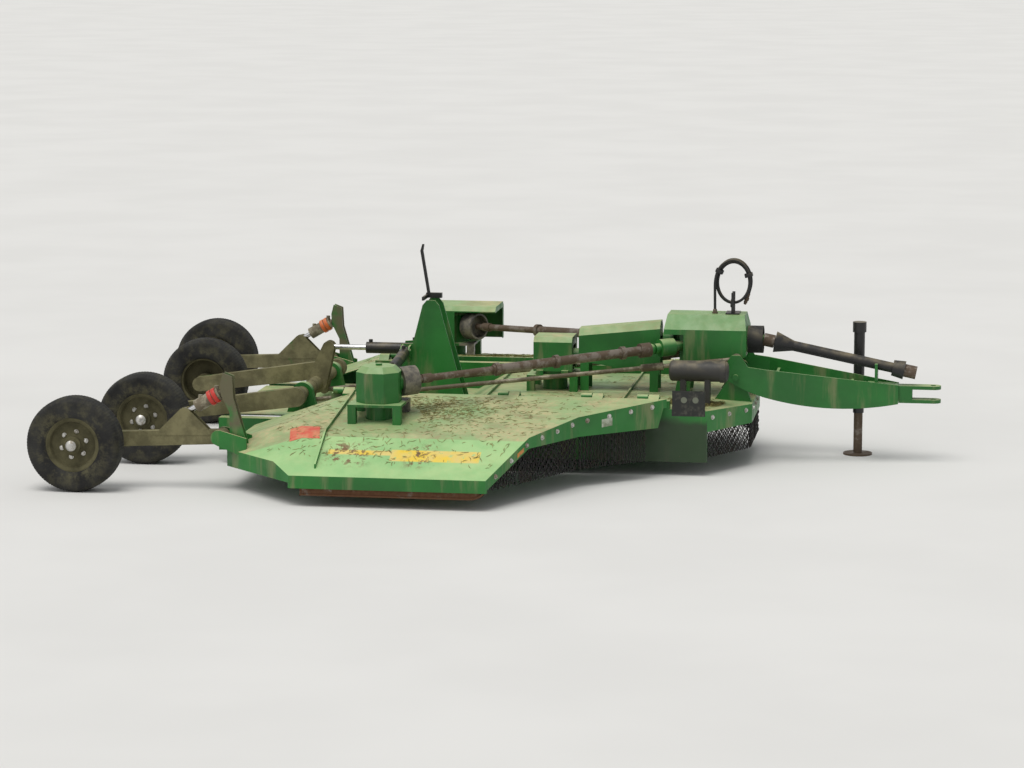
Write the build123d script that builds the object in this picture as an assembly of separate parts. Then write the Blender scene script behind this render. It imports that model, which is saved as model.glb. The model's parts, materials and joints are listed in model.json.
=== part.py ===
from build123d import *
import math
import os

# Batwing mower: a towed rotary cutter with a centre deck and two folding wings.
# Lengths are millimetres. X points forward, Y to the machine's left, Z up.
# A station is a distance ahead of the centre wheels' hub line. The last section
# moves every piece back by ORIGIN_STATION, so that the origin is mid-length on the floor.

# Running clearances
RUNNING_FIT = 0.05
SEAT_GAP = 0.3
CYLINDER_FIT = 0.1

# Wheels
WHEEL_RADIUS = 265
TYRE_WIDTH = 160
TYRE_SHOULDER = 22
RIM_LIP_RADIUS = 155
RIM_BARREL_RADIUS = 143
RIM_WIDTH = 128
RIM_DISC = 9
RIM_DISH = 34
HUB_RADIUS = 48
HUB_CAP_RADIUS = 36
HUB_CAP = 30
SPINDLE_RADIUS = 22
SPINDLE_COLLAR = 12
WING_WHEEL_STATION = -150

# Centre deck
DECK_HALF_WIDTH = 680
DECK_WALL = 6
DECK_EDGE_Z = 80
TAIL_STATION = 430
TAIL_TOP_Z = 270
TAIL_LIP = 60
RISE_STATION = 1750
RISE_LENGTH = 200
MAIN_TOP_Z = 385
SLOPE_STATION = 3120
NOSE_STATION = 3500
NOSE_TOP_Z = 365
NOSE_HALF_WIDTH = 300
CORNER_STATION = 3270
FRONT_BAND = 110
SIDE_PLATE_STATIONS = (3075, 3262)
SIDE_PLATE_TOP_Z = 490
SKIRT = 80
SKIRT_STATIONS = (1070, 1975)
DECK_RIB = 18
DECK_RIB_THICKNESS = 10
DECK_RIB_STATIONS = (1180, 1960, 2760)

# Hinge line between the centre deck and a wing
HINGE_Y = DECK_HALF_WIDTH + 25
HINGE_Z = 450
HINGE_PIN_RADIUS = 12
KNUCKLE_RADIUS = 20
KNUCKLE_LENGTH = 60
KNUCKLE_GAP = 6
KNUCKLE_STATIONS = (1120, 2080, 2560, 2880)
RAIL_STATIONS = (1100, 3060)
RAIL_WIDTH = 60
RAIL_TOP_Z = 430

# Wing decks, given for the left side
WING_INNER_Y = DECK_HALF_WIDTH + 55
WING_OUTER_Y = WING_INNER_Y + 1165
WING_WALL = 6
WING_CREST_Z = 450
WING_FALL = 100 / 815
WING_KNEE_Y = WING_OUTER_Y - 350
WING_OUTER_FALL = 180 / 350
WING_FRONT_INNER = (3050, WING_INNER_Y)
WING_FRONT_MIDDLE = (2600, WING_INNER_Y + 400)
WING_FRONT_OUTER = (2200, WING_OUTER_Y)
WING_REAR_SIDE = (1120, WING_OUTER_Y)
WING_REAR_STATION = 670
WING_BREAK_STATION = 1250
WING_REAR_FALL = 0.345
CHAMFER_EDGE_Z = 225
EDGE_SLOPE = 0.45
WING_LIP = 50
FRONT_WALL_Z = 290
SIDE_WALL_Z = 100
REAR_WALL_Z = 130
WING_RIB = 22
WING_RIB_THICKNESS = 8
WING_RIB_STATION = 1250
LOW_PLANE = -40
FAR_AHEAD = 3200

# Skids under the outer walls
SKID_STATIONS = (1180, 2110)
SKID_WIDTH = 60
SKID_THICKNESS = 10
SKID_Z = 62
SKID_NOSE_RADIUS = 120
SKID_NOSE_RISE = 36
SKID_WEB = 6
SKID_WEB_LAP = 45

# Chain curtains
CHAIN_PITCH = 36
CHAIN_BAR = 9
CHAIN_END_Z = 106
CHAIN_HANGER = 12
CHAIN_BELOW_ROOF = 22
NOSE_CURTAIN_ENDS = (12, 12)
CORNER_CURTAIN_ENDS = (26, 42)
WING_INNER_CURTAIN_ENDS = (140, 12)
WING_OUTER_CURTAIN_ENDS = (12, 320)
WING_TIP_CURTAIN_ENDS = (575, 50)

# Blade rotors
ROTOR_RADIUS = 620
CENTRE_ROTOR_STATION = 2310
WING_ROTOR_STATION = 1490
WING_ROTOR_Y = WING_INNER_Y + 495
ROTOR_SHAFT_RADIUS = 30
ROTOR_HUB_RADIUS = 70
PAN_RADIUS = 300
PAN_THICKNESS = 8
PAN_RIM = 40
PAN_Z = 118
BLADE_WIDTH = 95
BLADE_THICKNESS = 13
BLADE_ROOT_RADIUS = 175
BLADE_PIVOT_RADIUS = 225
BLADE_BOLT_RADIUS = 24
SHAFT_ENGAGEMENT = 70

# Gearboxes
GEARBOX_WIDTH = 200
RIGHT_GEARBOX_WIDTH = 240
GEARBOX_BASE_Z = 480
GEARBOX_TOP_Z = 650
GEARBOX_CAP = 32
GEARBOX_CAP_LEAN = 34
GEARBOX_PLUG_RADIUS = 18
GEARBOX_PLUG = 12
GEARBOX_NECK_RADIUS = 72
GEARBOX_NECK_Z = 290
PEDESTAL_WIDTH = 300
PEDESTAL_FLANGE = 14
PEDESTAL_LEG = 46
INPUT_Z = 575
INPUT_BOSS_RADIUS = 52
CLUTCH_START = 128
CLUTCH_LENGTH = 95
CLUTCH_RADIUS = 82
CLUTCH_BORE = 70
CLUTCH_RECESS = 56
CENTRE_GEARBOX_TOP_Z = 640
CENTRE_INPUT_Z = 580
CENTRE_INPUT = (44, 50)

# Splitter gearbox on the nose, and the shields over the drive
SPLITTER_STATIONS = (3060, 3400)
SPLITTER_HALF_WIDTH = 130
SPLITTER_Z = (540, 770)
SPLITTER_STAND = 12
SHIELD_STATIONS = (2970, 3450)
SHIELD_HALF_WIDTH = 170
SHIELD_Z = (575, 770)
SHIELD_TOP_Z = 850
SHIELD_END_HIP = 15
SHIELD_SIDE_HIP = 70
SHIELD_SHEET = 4
SHIELD_WINDOW = (115, 740)
SHIELD_CORNER = (75, 45)
SHIELD_TAB_STATIONS = (3160, 3330)
SHIELD_TAB = (40, 6)
SHIELD_TAB_Z = 600
DRIVE_SHIELD_STATIONS = (2460, 2940)
DRIVE_SHIELD_HALF_WIDTH = 85
DRIVE_SHIELD_REAR_Z = (560, 750)
DRIVE_SHIELD_FRONT_Z = (490, 800)
DRIVE_SHIELD_BEVEL = 40
DRIVE_SHIELD_OPENING = (70, 710)
DRIVE_SHIELD_LEG = (50, 6)
DRIVE_SHAFT_RADIUS = 28
DRIVE_SHAFT_FRONT_Z = 645
DRIVE_YOKE = (18, 92)
GEARBOX_SHIELD_STATIONS = (2196, 2424)
GEARBOX_SHIELD_HALF_WIDTH = 120
GEARBOX_SHIELD_Z = (500, 700)
GEARBOX_SHIELD_BEVEL = 28
GEARBOX_SHIELD_WINDOW = (60, 650)
GEARBOX_SHIELD_FOOT = (40, 30)
WING_SHIELD_STATIONS = (1380, 1780)
WING_SHIELD_Y = (WING_ROTOR_Y - 170, WING_ROTOR_Y + 170)
WING_SHIELD_Z = (GEARBOX_BASE_Z + SEAT_GAP, 715)
WING_SHIELD_WINDOW_Z = 680
WING_SHIELD_WINDOW_START = 140

# Wing drive shafts, from the splitter to each wing gearbox, given for the left side
WING_DRIVE_FRONT = (2900, 240, 660)
STUB_RADIUS = 30
STUB_START = 150
JOINT_RADIUS = 42
JOINT_LENGTH = 70
BALL_RADIUS = 34
OUTER_TUBE_RADIUS = 27
OUTER_TUBE_LENGTH = 1020
INNER_TUBE_RADIUS = 20
INNER_TUBE_OVERLAP = 560
INNER_TUBE_BORE = 300
INNER_COLLAR_RADIUS = 26
INNER_COLLAR_AT = (120, 60)
YOKE_SETBACK = 4
CLUTCH_STANDOFF = 36
COLLAR_RADIUS = 38
COLLAR_LENGTH = 26
COLLAR_AT = (OUTER_TUBE_LENGTH / 6, OUTER_TUBE_LENGTH * 0.59, OUTER_TUBE_LENGTH - 40)

# Mast and lock bar
MAST_STATION = 1575
MAST_PLATE_Y = 62
MAST_PLATE = 12
MAST_BASE = (1370, 1790)
MAST_TOP = (1525, 1625)
MAST_TOP_Z = 900
LOCK_BAR_TOP_Z = 1220

# Centre axle: rockshaft, trailing arms and levers
ROCKSHAFT_STATION = 870
ROCKSHAFT_Z = 385
ROCKSHAFT_RADIUS = 40
BEARING_Y = 400
BEARING_WIDTH = 50
BEARING_RADIUS = 62
BEARING_FOOT = 90
CENTRE_WHEEL_Y = DECK_HALF_WIDTH + 40
ARM_Y = (CENTRE_WHEEL_Y - 175, CENTRE_WHEEL_Y - 120)
ARM_HUB_RADIUS = 48
NOTCH_CLEARANCE = 9
NOTCH_STATION = 985
LEVER_PIN = (945, 600)
LEVER_PLATE_Y = (20, 34)
LEVER_RADIUS = 36
ROD_LUG_DROP = 77
ROD_Y = 205
ROD_EYE_WIDTH = 24
ROD_LUG_PLATE = 10
ROD_PIN_RADIUS = 10
ROD_LUG_RADIUS = 25
ROD_RADIUS = 13

# Cylinders
LIFT_ANCHOR = (1550, 600)
LIFT_BARREL_RADIUS = 34
LIFT_BARREL_LENGTH = 350
LIFT_ROD_RADIUS = 16
PIN_RADIUS = 12.5
EYE_RADIUS = 28
EYE_WIDTH = 36
EYE_DRIFT = 6
EYE_NECK = 12
WING_LIFT_Y = WING_OUTER_Y - 425
WING_LIFT_ANCHOR = (672, 562)
WING_LIFT_EYE = (445, 430)
WING_LIFT_BARREL_RADIUS = 36
WING_LIFT_BARREL_LENGTH = 165
WING_LIFT_ROD_RADIUS = 15
WING_EYE_WIDTH = 32
FOLD_STATION = 1430
FOLD_ANCHOR = (120, 600)
FOLD_EYE = (WING_INNER_Y + 150, 510)
FOLD_BARREL_RADIUS = 32
FOLD_BARREL_LENGTH = 430
FOLD_ROD_RADIUS = 16
FOLD_EYE_RADIUS = 26
FOLD_EYE_WIDTH = 30
FOLD_EAR = 10
PORT_RADIUS = 12
PORT_HEIGHT = 16

# Wing wheel arms, given for the left side
WING_PIVOT = (640, 300)
WING_PIVOT_PIN_RADIUS = 20
WING_ARM_Y = (WING_LIFT_Y - 27, WING_LIFT_Y + 27)
WING_BOSS_Y = (WING_LIFT_Y - 63, WING_LIFT_Y + 35)
WING_BOSS_RADIUS = 40
WING_EAR_Y = ((WING_LIFT_Y - 87, WING_LIFT_Y - 73), (WING_LIFT_Y + 45, WING_LIFT_Y + 59))
WING_WHEEL_Y = WING_OUTER_Y - 280
WING_GUSSET = 12

# Tongue, hitch and parking jack
TONGUE_PIVOT = (3400, 510)
TONGUE_PIVOT_RADIUS = 18
TONGUE_EYE_RADIUS = 46
TONGUE_LUG_RISE = 100
TONGUE_REAR_Y = 262
TONGUE_FRONT_Y = 62
TONGUE_PLATE = 12
TONGUE_STATIONS = (3354, 4330)
TONGUE_NOSE_Z = (345, 455)
TONGUE_EAR_Y = (196, 232)
TONGUE_EAR_RADIUS = 34
HITCH_PIN_STATION = 4530
HITCH_Z = 400
HITCH_BORE_RADIUS = 16.7
CLEVIS_EAR = 20
CLEVIS_GAP = 60
CLEVIS_HALF_WIDTH = 45
JACK_STATION = 4090
JACK_Y = 190
JACK_TUBE_RADIUS = 32
JACK_TUBE_Z = (250, 760)
JACK_LEG_RADIUS = 26
JACK_FOOT_RADIUS = 85
JACK_FOOT = 10
JACK_CRANK = (142, 110)

# Tractor drive shaft, lying on its rest on the tongue
PTO_PIVOT = (3545, 700)
PTO_END = (4430, 522)
PTO_TUBE_RADIUS = 30
PTO_SHAFT_RADIUS = 24
PTO_CONE_RADIUS = 62
PTO_CONE_START = 64
PTO_CONE_LENGTH = 110
PTO_FRONT_CONE_RADII = (46, 54)
PTO_FRONT_CONE_LENGTH = 70
PTO_FRONT_CONE_BACK = 140
PTO_YOKE_RADIUS = 38
PTO_YOKE_LENGTH = 100
PTO_BORE_RADIUS = 17.5
PTO_BORE_LENGTH = 70
PTO_BALL_RADIUS = 28
PTO_STUB_RADIUS = 18
PTO_SOCKET_WRAP = 3
PTO_REST_STATION = 4200
PTO_REST_GAP = 5
BELL_RADIUS = 80
BELL_STATIONS = (3450, 3540)
BELL_WALL = 6

# Document tube and hose hanger
MANUAL_TUBE_STATIONS = (3050, 3360)
MANUAL_TUBE_Y = DECK_HALF_WIDTH - 230
MANUAL_TUBE_Z = 572
MANUAL_TUBE_RADIUS = 60
HOSE_RADIUS = 8
COIL_CENTRE = (3360, 0, 1035)
COIL_HEIGHT = 300
COIL_WIDTH = 240
COIL_BUNDLE = 26
HANGER_POST_RADIUS = 9

HUB_Z = WHEEL_RADIUS
INPUT_AXIS_Z = PTO_PIVOT[1]
REAR_STATION = WING_WHEEL_STATION - WHEEL_RADIUS
FRONT_STATION = HITCH_PIN_STATION + CLEVIS_HALF_WIDTH
ORIGIN_STATION = (REAR_STATION + FRONT_STATION) / 2

nodes = {}


# Shapes from corners, outlines and end points
def block(x, y, z):
    """A box between two stations, two Y and two Z."""
    size = (x[1] - x[0], y[1] - y[0], z[1] - z[0])
    return Pos(x[0], y[0], z[0]) * Box(*size, align=(Align.MIN, Align.MIN, Align.MIN))


def slab_xz(outline, y):
    """An outline of (station, z) points, from one Y to another."""
    points = [(px, y[0], pz) for px, pz in outline]
    return extrude(make_face(Polyline(*points, close=True)), amount=y[1] - y[0], dir=(0, 1, 0))


def slab_yz(outline, x):
    """An outline of (y, z) points, from one station to another."""
    points = [(x[0], py, pz) for py, pz in outline]
    return extrude(make_face(Polyline(*points, close=True)), amount=x[1] - x[0], dir=(1, 0, 0))


def slab_xy(outline, z):
    """An outline of (station, y) points, from one Z to another."""
    points = [(px, py, z[0]) for px, py in outline]
    return extrude(make_face(Polyline(*points, close=True)), amount=z[1] - z[0], dir=(0, 0, 1))


def bar(start, end, radius):
    """A round bar between two points."""
    axis = Vector(*end) - Vector(*start)
    plane = Plane(origin=start, z_dir=axis)
    return plane * Cylinder(radius, axis.length, align=(Align.CENTER, Align.CENTER, Align.MIN))


def cone(start, end, start_radius, end_radius):
    """A cone between two points."""
    axis = Vector(*end) - Vector(*start)
    plane = Plane(origin=start, z_dir=axis)
    align = (Align.CENTER, Align.CENTER, Align.MIN)
    return plane * Cone(start_radius, end_radius, axis.length, align=align)


def cross_bar(place, y, radius):
    """A round bar along Y at a (station, z) place."""
    return bar((place[0], y[0], place[1]), (place[0], y[1], place[1]), radius)


def link_plate(places, radii, y):
    """A plate with round ends about two (station, z) places."""
    (ax, az), (bx, bz) = places
    ra, rb = radii
    turn = math.atan2(bz - az, bx - ax)
    reach = math.hypot(bx - ax, bz - az)
    lean = math.acos((ra - rb) / reach)
    corners = []
    for cx, cz, radius, angle in (
        (ax, az, ra, turn + lean),
        (bx, bz, rb, turn + lean),
        (bx, bz, rb, turn - lean),
        (ax, az, ra, turn - lean),
    ):
        corners.append((cx + radius * math.cos(angle), cz + radius * math.sin(angle)))
    return slab_xz(corners, y) + cross_bar(places[0], y, ra) + cross_bar(places[1], y, rb)


def cut_by_planes(solid, planes, inset):
    """Keep what lies behind each plane, moved inwards by inset."""
    for point, normal in planes:
        out = Vector(*normal).normalized()
        origin = Vector(*point) - out * inset
        solid = split(solid, bisect_by=Plane(origin=origin, z_dir=out), keep=Keep.BOTTOM)
    return solid


def along(start, direction, distance):
    """The point at a distance from start."""
    place = Vector(*start) + Vector(*direction).normalized() * distance
    return (place.X, place.Y, place.Z)


def sided(shape, side):
    """A left-hand shape, or its mirror image for the right side."""
    return shape if side == "left" else mirror(shape, about=Plane.XZ)


# Wheels: laminated tyre, dished rim with its hub, given at the origin of the spindle
def tyre_solid():
    half = TYRE_WIDTH / 2
    face = Polyline(
        (RIM_BARREL_RADIUS + SEAT_GAP, -half + TYRE_SHOULDER),
        (RIM_LIP_RADIUS + 6, -half + 4),
        (WHEEL_RADIUS - TYRE_SHOULDER, -half),
        (WHEEL_RADIUS, -half + TYRE_SHOULDER),
        (WHEEL_RADIUS, half - TYRE_SHOULDER),
        (WHEEL_RADIUS - TYRE_SHOULDER, half),
        (RIM_LIP_RADIUS + 6, half - 4),
        (RIM_BARREL_RADIUS + SEAT_GAP, half - TYRE_SHOULDER),
        close=True,
    )
    return revolve(Plane.XY * make_face(face), Axis.Y)


def rim_solid():
    """The rim's outer face is towards +Y."""
    half = RIM_WIDTH / 2
    disc_y = half - RIM_DISH
    face = Polyline(
        (SPINDLE_RADIUS + RUNNING_FIT, -half),
        (HUB_RADIUS, -half),
        (HUB_RADIUS, disc_y - RIM_DISC),
        (RIM_BARREL_RADIUS - 9, disc_y - RIM_DISC),
        (RIM_BARREL_RADIUS - 9, -half + 10),
        (RIM_LIP_RADIUS - 10, -half + 4),
        (RIM_LIP_RADIUS - 10, -half - 2),
        (RIM_BARREL_RADIUS, -half + TYRE_SHOULDER - 18),
        (RIM_BARREL_RADIUS, half - TYRE_SHOULDER + 18),
        (RIM_LIP_RADIUS - 4, half + 2),
        (RIM_LIP_RADIUS - 10, half + 2),
        (RIM_BARREL_RADIUS - 12, half - 6),
        (RIM_BARREL_RADIUS - 20, disc_y + 6),
        (HUB_RADIUS + 26, disc_y),
        (HUB_RADIUS + 6, disc_y + 8),
        (HUB_RADIUS, disc_y + 14),
        (HUB_RADIUS, half + 2),
        (HUB_CAP_RADIUS, half + 6),
        (HUB_CAP_RADIUS - 4, half + HUB_CAP - 8),
        (HUB_CAP_RADIUS - 16, half + HUB_CAP),
        (0, half + HUB_CAP),
        (0, half - 10),
        (SPINDLE_RADIUS + RUNNING_FIT, half - 10),
        close=True,
    )
    return revolve(Plane.XY * make_face(face), Axis.Y)


WHEELS = (
    # name, station, y, side
    ("centre_left", 0, CENTRE_WHEEL_Y, "left"),
    ("centre_right", 0, CENTRE_WHEEL_Y, "right"),
    ("wing_left", WING_WHEEL_STATION, WING_WHEEL_Y, "left"),
    ("wing_right", WING_WHEEL_STATION, WING_WHEEL_Y, "right"),
)
tyre = tyre_solid()
rim = rim_solid()
for name, station, wheel_y, side in WHEELS:
    place = Pos(station, wheel_y, HUB_Z)
    nodes["tyre_" + name] = sided(place * tyre, side)
    nodes["rim_" + name] = sided(place * rim, side)


# Centre deck: a shallow pan with its sheet bent down at the nose
def centre_form(inset):
    outline = (
        (TAIL_STATION + inset, DECK_EDGE_Z - 2 * inset),
        (TAIL_STATION + inset, TAIL_TOP_Z - inset),
        (RISE_STATION, TAIL_TOP_Z - inset),
        (RISE_STATION + RISE_LENGTH, MAIN_TOP_Z - inset),
        (SLOPE_STATION, MAIN_TOP_Z - inset),
        (NOSE_STATION - inset, NOSE_TOP_Z - inset),
        (NOSE_STATION - inset, DECK_EDGE_Z - 2 * inset),
    )
    half = DECK_HALF_WIDTH - inset
    solid = slab_xz(outline, (-half, half))
    corner = (CORNER_STATION - NOSE_STATION, DECK_HALF_WIDTH - NOSE_HALF_WIDTH)
    planes = []
    for sign in (1, -1):
        planes.append(((CORNER_STATION, sign * DECK_HALF_WIDTH, 0), (corner[1], -sign * corner[0], 0)))
    return cut_by_planes(solid, planes, inset)


def hinge_groups():
    """Stations where each centre knuckle and each wing knuckle starts."""
    return [(start, start + KNUCKLE_LENGTH + KNUCKLE_GAP) for start in KNUCKLE_STATIONS]


centre_outer = centre_form(0)
deck = centre_outer - centre_form(DECK_WALL)
front_wall_z = NOSE_TOP_Z - FRONT_BAND
deck -= block((CORNER_STATION + 5, NOSE_STATION + 50), (-DECK_HALF_WIDTH - 20, DECK_HALF_WIDTH + 20),
              (0, front_wall_z))
deck -= block((TAIL_STATION - 10, TAIL_STATION + 40), (-DECK_HALF_WIDTH + 20, DECK_HALF_WIDTH - 20),
              (0, TAIL_TOP_Z - TAIL_LIP))
for sign in (1, -1):
    y_side = sorted((sign * (DECK_HALF_WIDTH - 40), sign * (DECK_HALF_WIDTH + 20)))
    deck -= block(SKIRT_STATIONS, y_side, (0, TAIL_TOP_Z - SKIRT))
    notch = sorted((sign * (ARM_Y[0] - NOTCH_CLEARANCE), sign * (ARM_Y[1] + NOTCH_CLEARANCE)))
    deck -= block((TAIL_STATION - 10, NOTCH_STATION), notch, (0, TAIL_TOP_Z + 20))
    rail_y = sorted((sign * (DECK_HALF_WIDTH - RAIL_WIDTH), sign * DECK_HALF_WIDTH))
    rail = block(RAIL_STATIONS, rail_y, (TAIL_TOP_Z - DECK_WALL, RAIL_TOP_Z))
    deck += rail - centre_form(DECK_WALL / 2)
    for centre_start, wing_start in hinge_groups():
        span = (centre_start, centre_start + KNUCKLE_LENGTH)
        web = [(sign * py, pz) for py, pz in (
            (DECK_HALF_WIDTH - 50, RAIL_TOP_Z - 5),
            (HINGE_Y + 4, RAIL_TOP_Z),
            (HINGE_Y + 4, HINGE_Z + KNUCKLE_RADIUS - 1),
            (DECK_HALF_WIDTH - 20, HINGE_Z + 10),
        )]
        deck += slab_yz(web, span)
        deck += bar((span[0], sign * HINGE_Y, HINGE_Z), (span[1], sign * HINGE_Y, HINGE_Z), KNUCKLE_RADIUS)
        pin_end = wing_start + KNUCKLE_LENGTH + 4
        deck += bar((span[0], sign * HINGE_Y, HINGE_Z), (pin_end, sign * HINGE_Y, HINGE_Z), HINGE_PIN_RADIUS)
    plate_y = sorted((sign * (DECK_HALF_WIDTH - DECK_WALL), sign * DECK_HALF_WIDTH))
    deck += block(SIDE_PLATE_STATIONS, plate_y, (NOSE_TOP_Z - 20, SIDE_PLATE_TOP_Z))
    # pivot ears for the tongue, with the pin
    ear_y = sorted((sign * TONGUE_EAR_Y[0], sign * TONGUE_EAR_Y[1]))
    ear = slab_xz((
        (TONGUE_PIVOT[0] - 130, MAIN_TOP_Z - 20),
        (NOSE_STATION - 6, NOSE_TOP_Z - 6),
        (TONGUE_PIVOT[0] + TONGUE_EAR_RADIUS, TONGUE_PIVOT[1]),
        (TONGUE_PIVOT[0] - TONGUE_EAR_RADIUS, TONGUE_PIVOT[1]),
    ), ear_y)
    ear += cross_bar(TONGUE_PIVOT, ear_y, TONGUE_EAR_RADIUS)
    ear -= centre_form(DECK_WALL / 2)
    deck += ear
    pin_y = sorted((sign * TONGUE_EAR_Y[0], sign * (TONGUE_REAR_Y + 14)))
    deck += cross_bar(TONGUE_PIVOT, pin_y, TONGUE_PIVOT_RADIUS)
for station in DECK_RIB_STATIONS:
    rib = block((station, station + DECK_RIB_THICKNESS), (-DECK_HALF_WIDTH + 50, DECK_HALF_WIDTH - 50),
                (TAIL_TOP_Z - DECK_WALL, MAIN_TOP_Z + 2 * DECK_RIB))
    deck += rib & (centre_form(-DECK_RIB) - centre_form(DECK_WALL / 2))
deck -= bar((CENTRE_ROTOR_STATION, 0, 200), (CENTRE_ROTOR_STATION, 0, 500), GEARBOX_NECK_RADIUS + 3)
nodes["centre_deck"] = deck

# Bearing stands for the rockshaft, on the tail
stands = []
for sign in (1, -1):
    stand_y = sorted((sign * (BEARING_Y - BEARING_WIDTH / 2), sign * (BEARING_Y + BEARING_WIDTH / 2)))
    stand = slab_xz((
        (ROCKSHAFT_STATION - BEARING_FOOT, TAIL_TOP_Z + SEAT_GAP),
        (ROCKSHAFT_STATION + BEARING_FOOT, TAIL_TOP_Z + SEAT_GAP),
        (ROCKSHAFT_STATION + BEARING_RADIUS, ROCKSHAFT_Z),
        (ROCKSHAFT_STATION - BEARING_RADIUS, ROCKSHAFT_Z),
    ), stand_y)
    stand += cross_bar((ROCKSHAFT_STATION, ROCKSHAFT_Z), stand_y, BEARING_RADIUS)
    stand -= cross_bar((ROCKSHAFT_STATION, ROCKSHAFT_Z), (stand_y[0] - 1, stand_y[1] + 1),
                       ROCKSHAFT_RADIUS + RUNNING_FIT)
    stands.append(stand)
nodes["axle_bearings"] = stands[0] + stands[1]


# Chain curtains: strands hung from a bar inside a front edge
def curtain(start, end, short, tops, inset):
    """Strands along an edge in plan, short of its two ends, and inside it by inset.

    tops holds the height of the hanging bar at its start and at its end.
    """
    edge = math.hypot(end[0] - start[0], end[1] - start[1])
    ux, uy = (end[0] - start[0]) / edge, (end[1] - start[1]) / edge
    sx, sy = start[0] + ux * short[0], start[1] + uy * short[0]
    length = edge - short[0] - short[1]
    turn = math.degrees(math.atan2(uy, ux))
    frame = Pos(sx + uy * inset, sy - ux * inset, 0) * Rot(0, 0, turn)
    half = CHAIN_HANGER / 2
    shape = frame * slab_xz((
        (0, tops[0] - CHAIN_HANGER), (length, tops[1] - CHAIN_HANGER), (length, tops[1]), (0, tops[0]),
    ), (-half, half))
    count = int((length - CHAIN_BAR) // CHAIN_PITCH)
    for index in range(count + 1):
        at = CHAIN_BAR / 2 + index * (length - CHAIN_BAR) / count
        top_z = tops[0] + (tops[1] - tops[0]) * at / length
        strand = block((at - CHAIN_BAR / 2, at + CHAIN_BAR / 2), (-CHAIN_BAR / 2, CHAIN_BAR / 2),
                       (CHAIN_END_Z, top_z - CHAIN_HANGER / 2))
        shape += frame * strand
    return shape


curtain_z = (front_wall_z + 14, front_wall_z + 14)
curtain_inset = DECK_WALL + SEAT_GAP + CHAIN_HANGER / 2
nose_place = (NOSE_STATION, NOSE_HALF_WIDTH)
centre_curtain = curtain((NOSE_STATION, -NOSE_HALF_WIDTH), nose_place, NOSE_CURTAIN_ENDS,
                         curtain_z, -curtain_inset)
corner_curtain = curtain(nose_place, (CORNER_STATION, DECK_HALF_WIDTH), CORNER_CURTAIN_ENDS,
                         curtain_z, -curtain_inset)
nodes["centre_chains"] = centre_curtain + corner_curtain + sided(corner_curtain, "right")


# Wing decks: a low roof of flat panels, folded down at the outer side, front and rear
def upright_row(start, end):
    """The upright wall over an edge in plan."""
    return ((start[0], start[1], 0), (end[1] - start[1], start[0] - end[0], 0))


knee_z = WING_CREST_Z - (WING_KNEE_Y - WING_INNER_Y) * WING_FALL


def wing_planes():
    rows = [((0, WING_INNER_Y, WING_CREST_Z), (0, WING_FALL, 1))]
    rows.append(((0, WING_KNEE_Y, knee_z), (0, WING_OUTER_FALL, 1)))
    rows.append(((WING_BREAK_STATION, WING_INNER_Y, WING_CREST_Z), (-WING_REAR_FALL, 0, 1)))
    step = WING_OUTER_Y - (WING_REAR_SIDE[0] - WING_REAR_STATION)
    chamfer_end = (WING_REAR_STATION, step)
    rows.append(upright_row(WING_REAR_SIDE, chamfer_end))
    point, (out_x, out_y, _) = rows[-1]
    length = math.hypot(out_x, out_y)
    rows.append(((point[0], point[1], CHAMFER_EDGE_Z),
                 (EDGE_SLOPE * out_x / length, EDGE_SLOPE * out_y / length, 1)))
    return rows


def wing_form(inset, open_inner=True):
    """The wing's outer form, moved inwards by inset. Its front edge bends inwards in plan."""
    inner_y = WING_INNER_Y + (inset if not open_inner else 0)
    solid = block(
        (WING_REAR_STATION + inset, WING_FRONT_INNER[0] + 100),
        (inner_y, WING_OUTER_Y - inset),
        (LOW_PLANE / 2, WING_CREST_Z + 150),
    )
    solid = cut_by_planes(solid, wing_planes(), inset)
    ahead = block((0, FAR_AHEAD), (WING_INNER_Y - 50, WING_OUTER_Y + 50), (LOW_PLANE, WING_CREST_Z + 200))
    fronts = []
    for start, end in ((WING_FRONT_INNER, WING_FRONT_MIDDLE), (WING_FRONT_MIDDLE, WING_FRONT_OUTER)):
        point, out = upright_row(start, end)
        fronts.append((point, tuple(-value for value in out)))
    return solid - cut_by_planes(ahead, fronts, -inset)


wing_outer = wing_form(0)
wing_shell = wing_outer - wing_form(WING_WALL, open_inner=False)
across = (WING_INNER_Y - 35, WING_OUTER_Y + 100)
wing_shell -= slab_yz((
    (across[0], LOW_PLANE), (across[0], FRONT_WALL_Z), (WING_KNEE_Y, FRONT_WALL_Z),
    (across[1], FRONT_WALL_Z - (across[1] - WING_KNEE_Y) * WING_OUTER_FALL), (across[1], LOW_PLANE),
), (WING_FRONT_OUTER[0] + 5, FAR_AHEAD))
wing_shell -= block((WING_REAR_STATION - 20, WING_REAR_SIDE[0] - 5), across, (LOW_PLANE, REAR_WALL_Z))
wing_shell -= block((0, FAR_AHEAD), across, (LOW_PLANE, SIDE_WALL_Z))
wing_shell -= slab_yz((
    (across[0], LOW_PLANE), (across[0], HINGE_Z - WING_LIP), (WING_INNER_Y + 15, HINGE_Z - WING_LIP),
    (WING_INNER_Y + 55, 220), (WING_INNER_Y + 105, 60), (WING_INNER_Y + 105, LOW_PLANE),
), (WING_REAR_STATION - 20, FAR_AHEAD))
rib = block((WING_RIB_STATION, WING_RIB_STATION + WING_RIB_THICKNESS), (WING_INNER_Y + 25, WING_OUTER_Y - 60),
            (SIDE_WALL_Z, WING_CREST_Z + 2 * WING_RIB))
wing_shell += rib & (wing_form(-WING_RIB) - wing_form(WING_WALL / 2))
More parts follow.
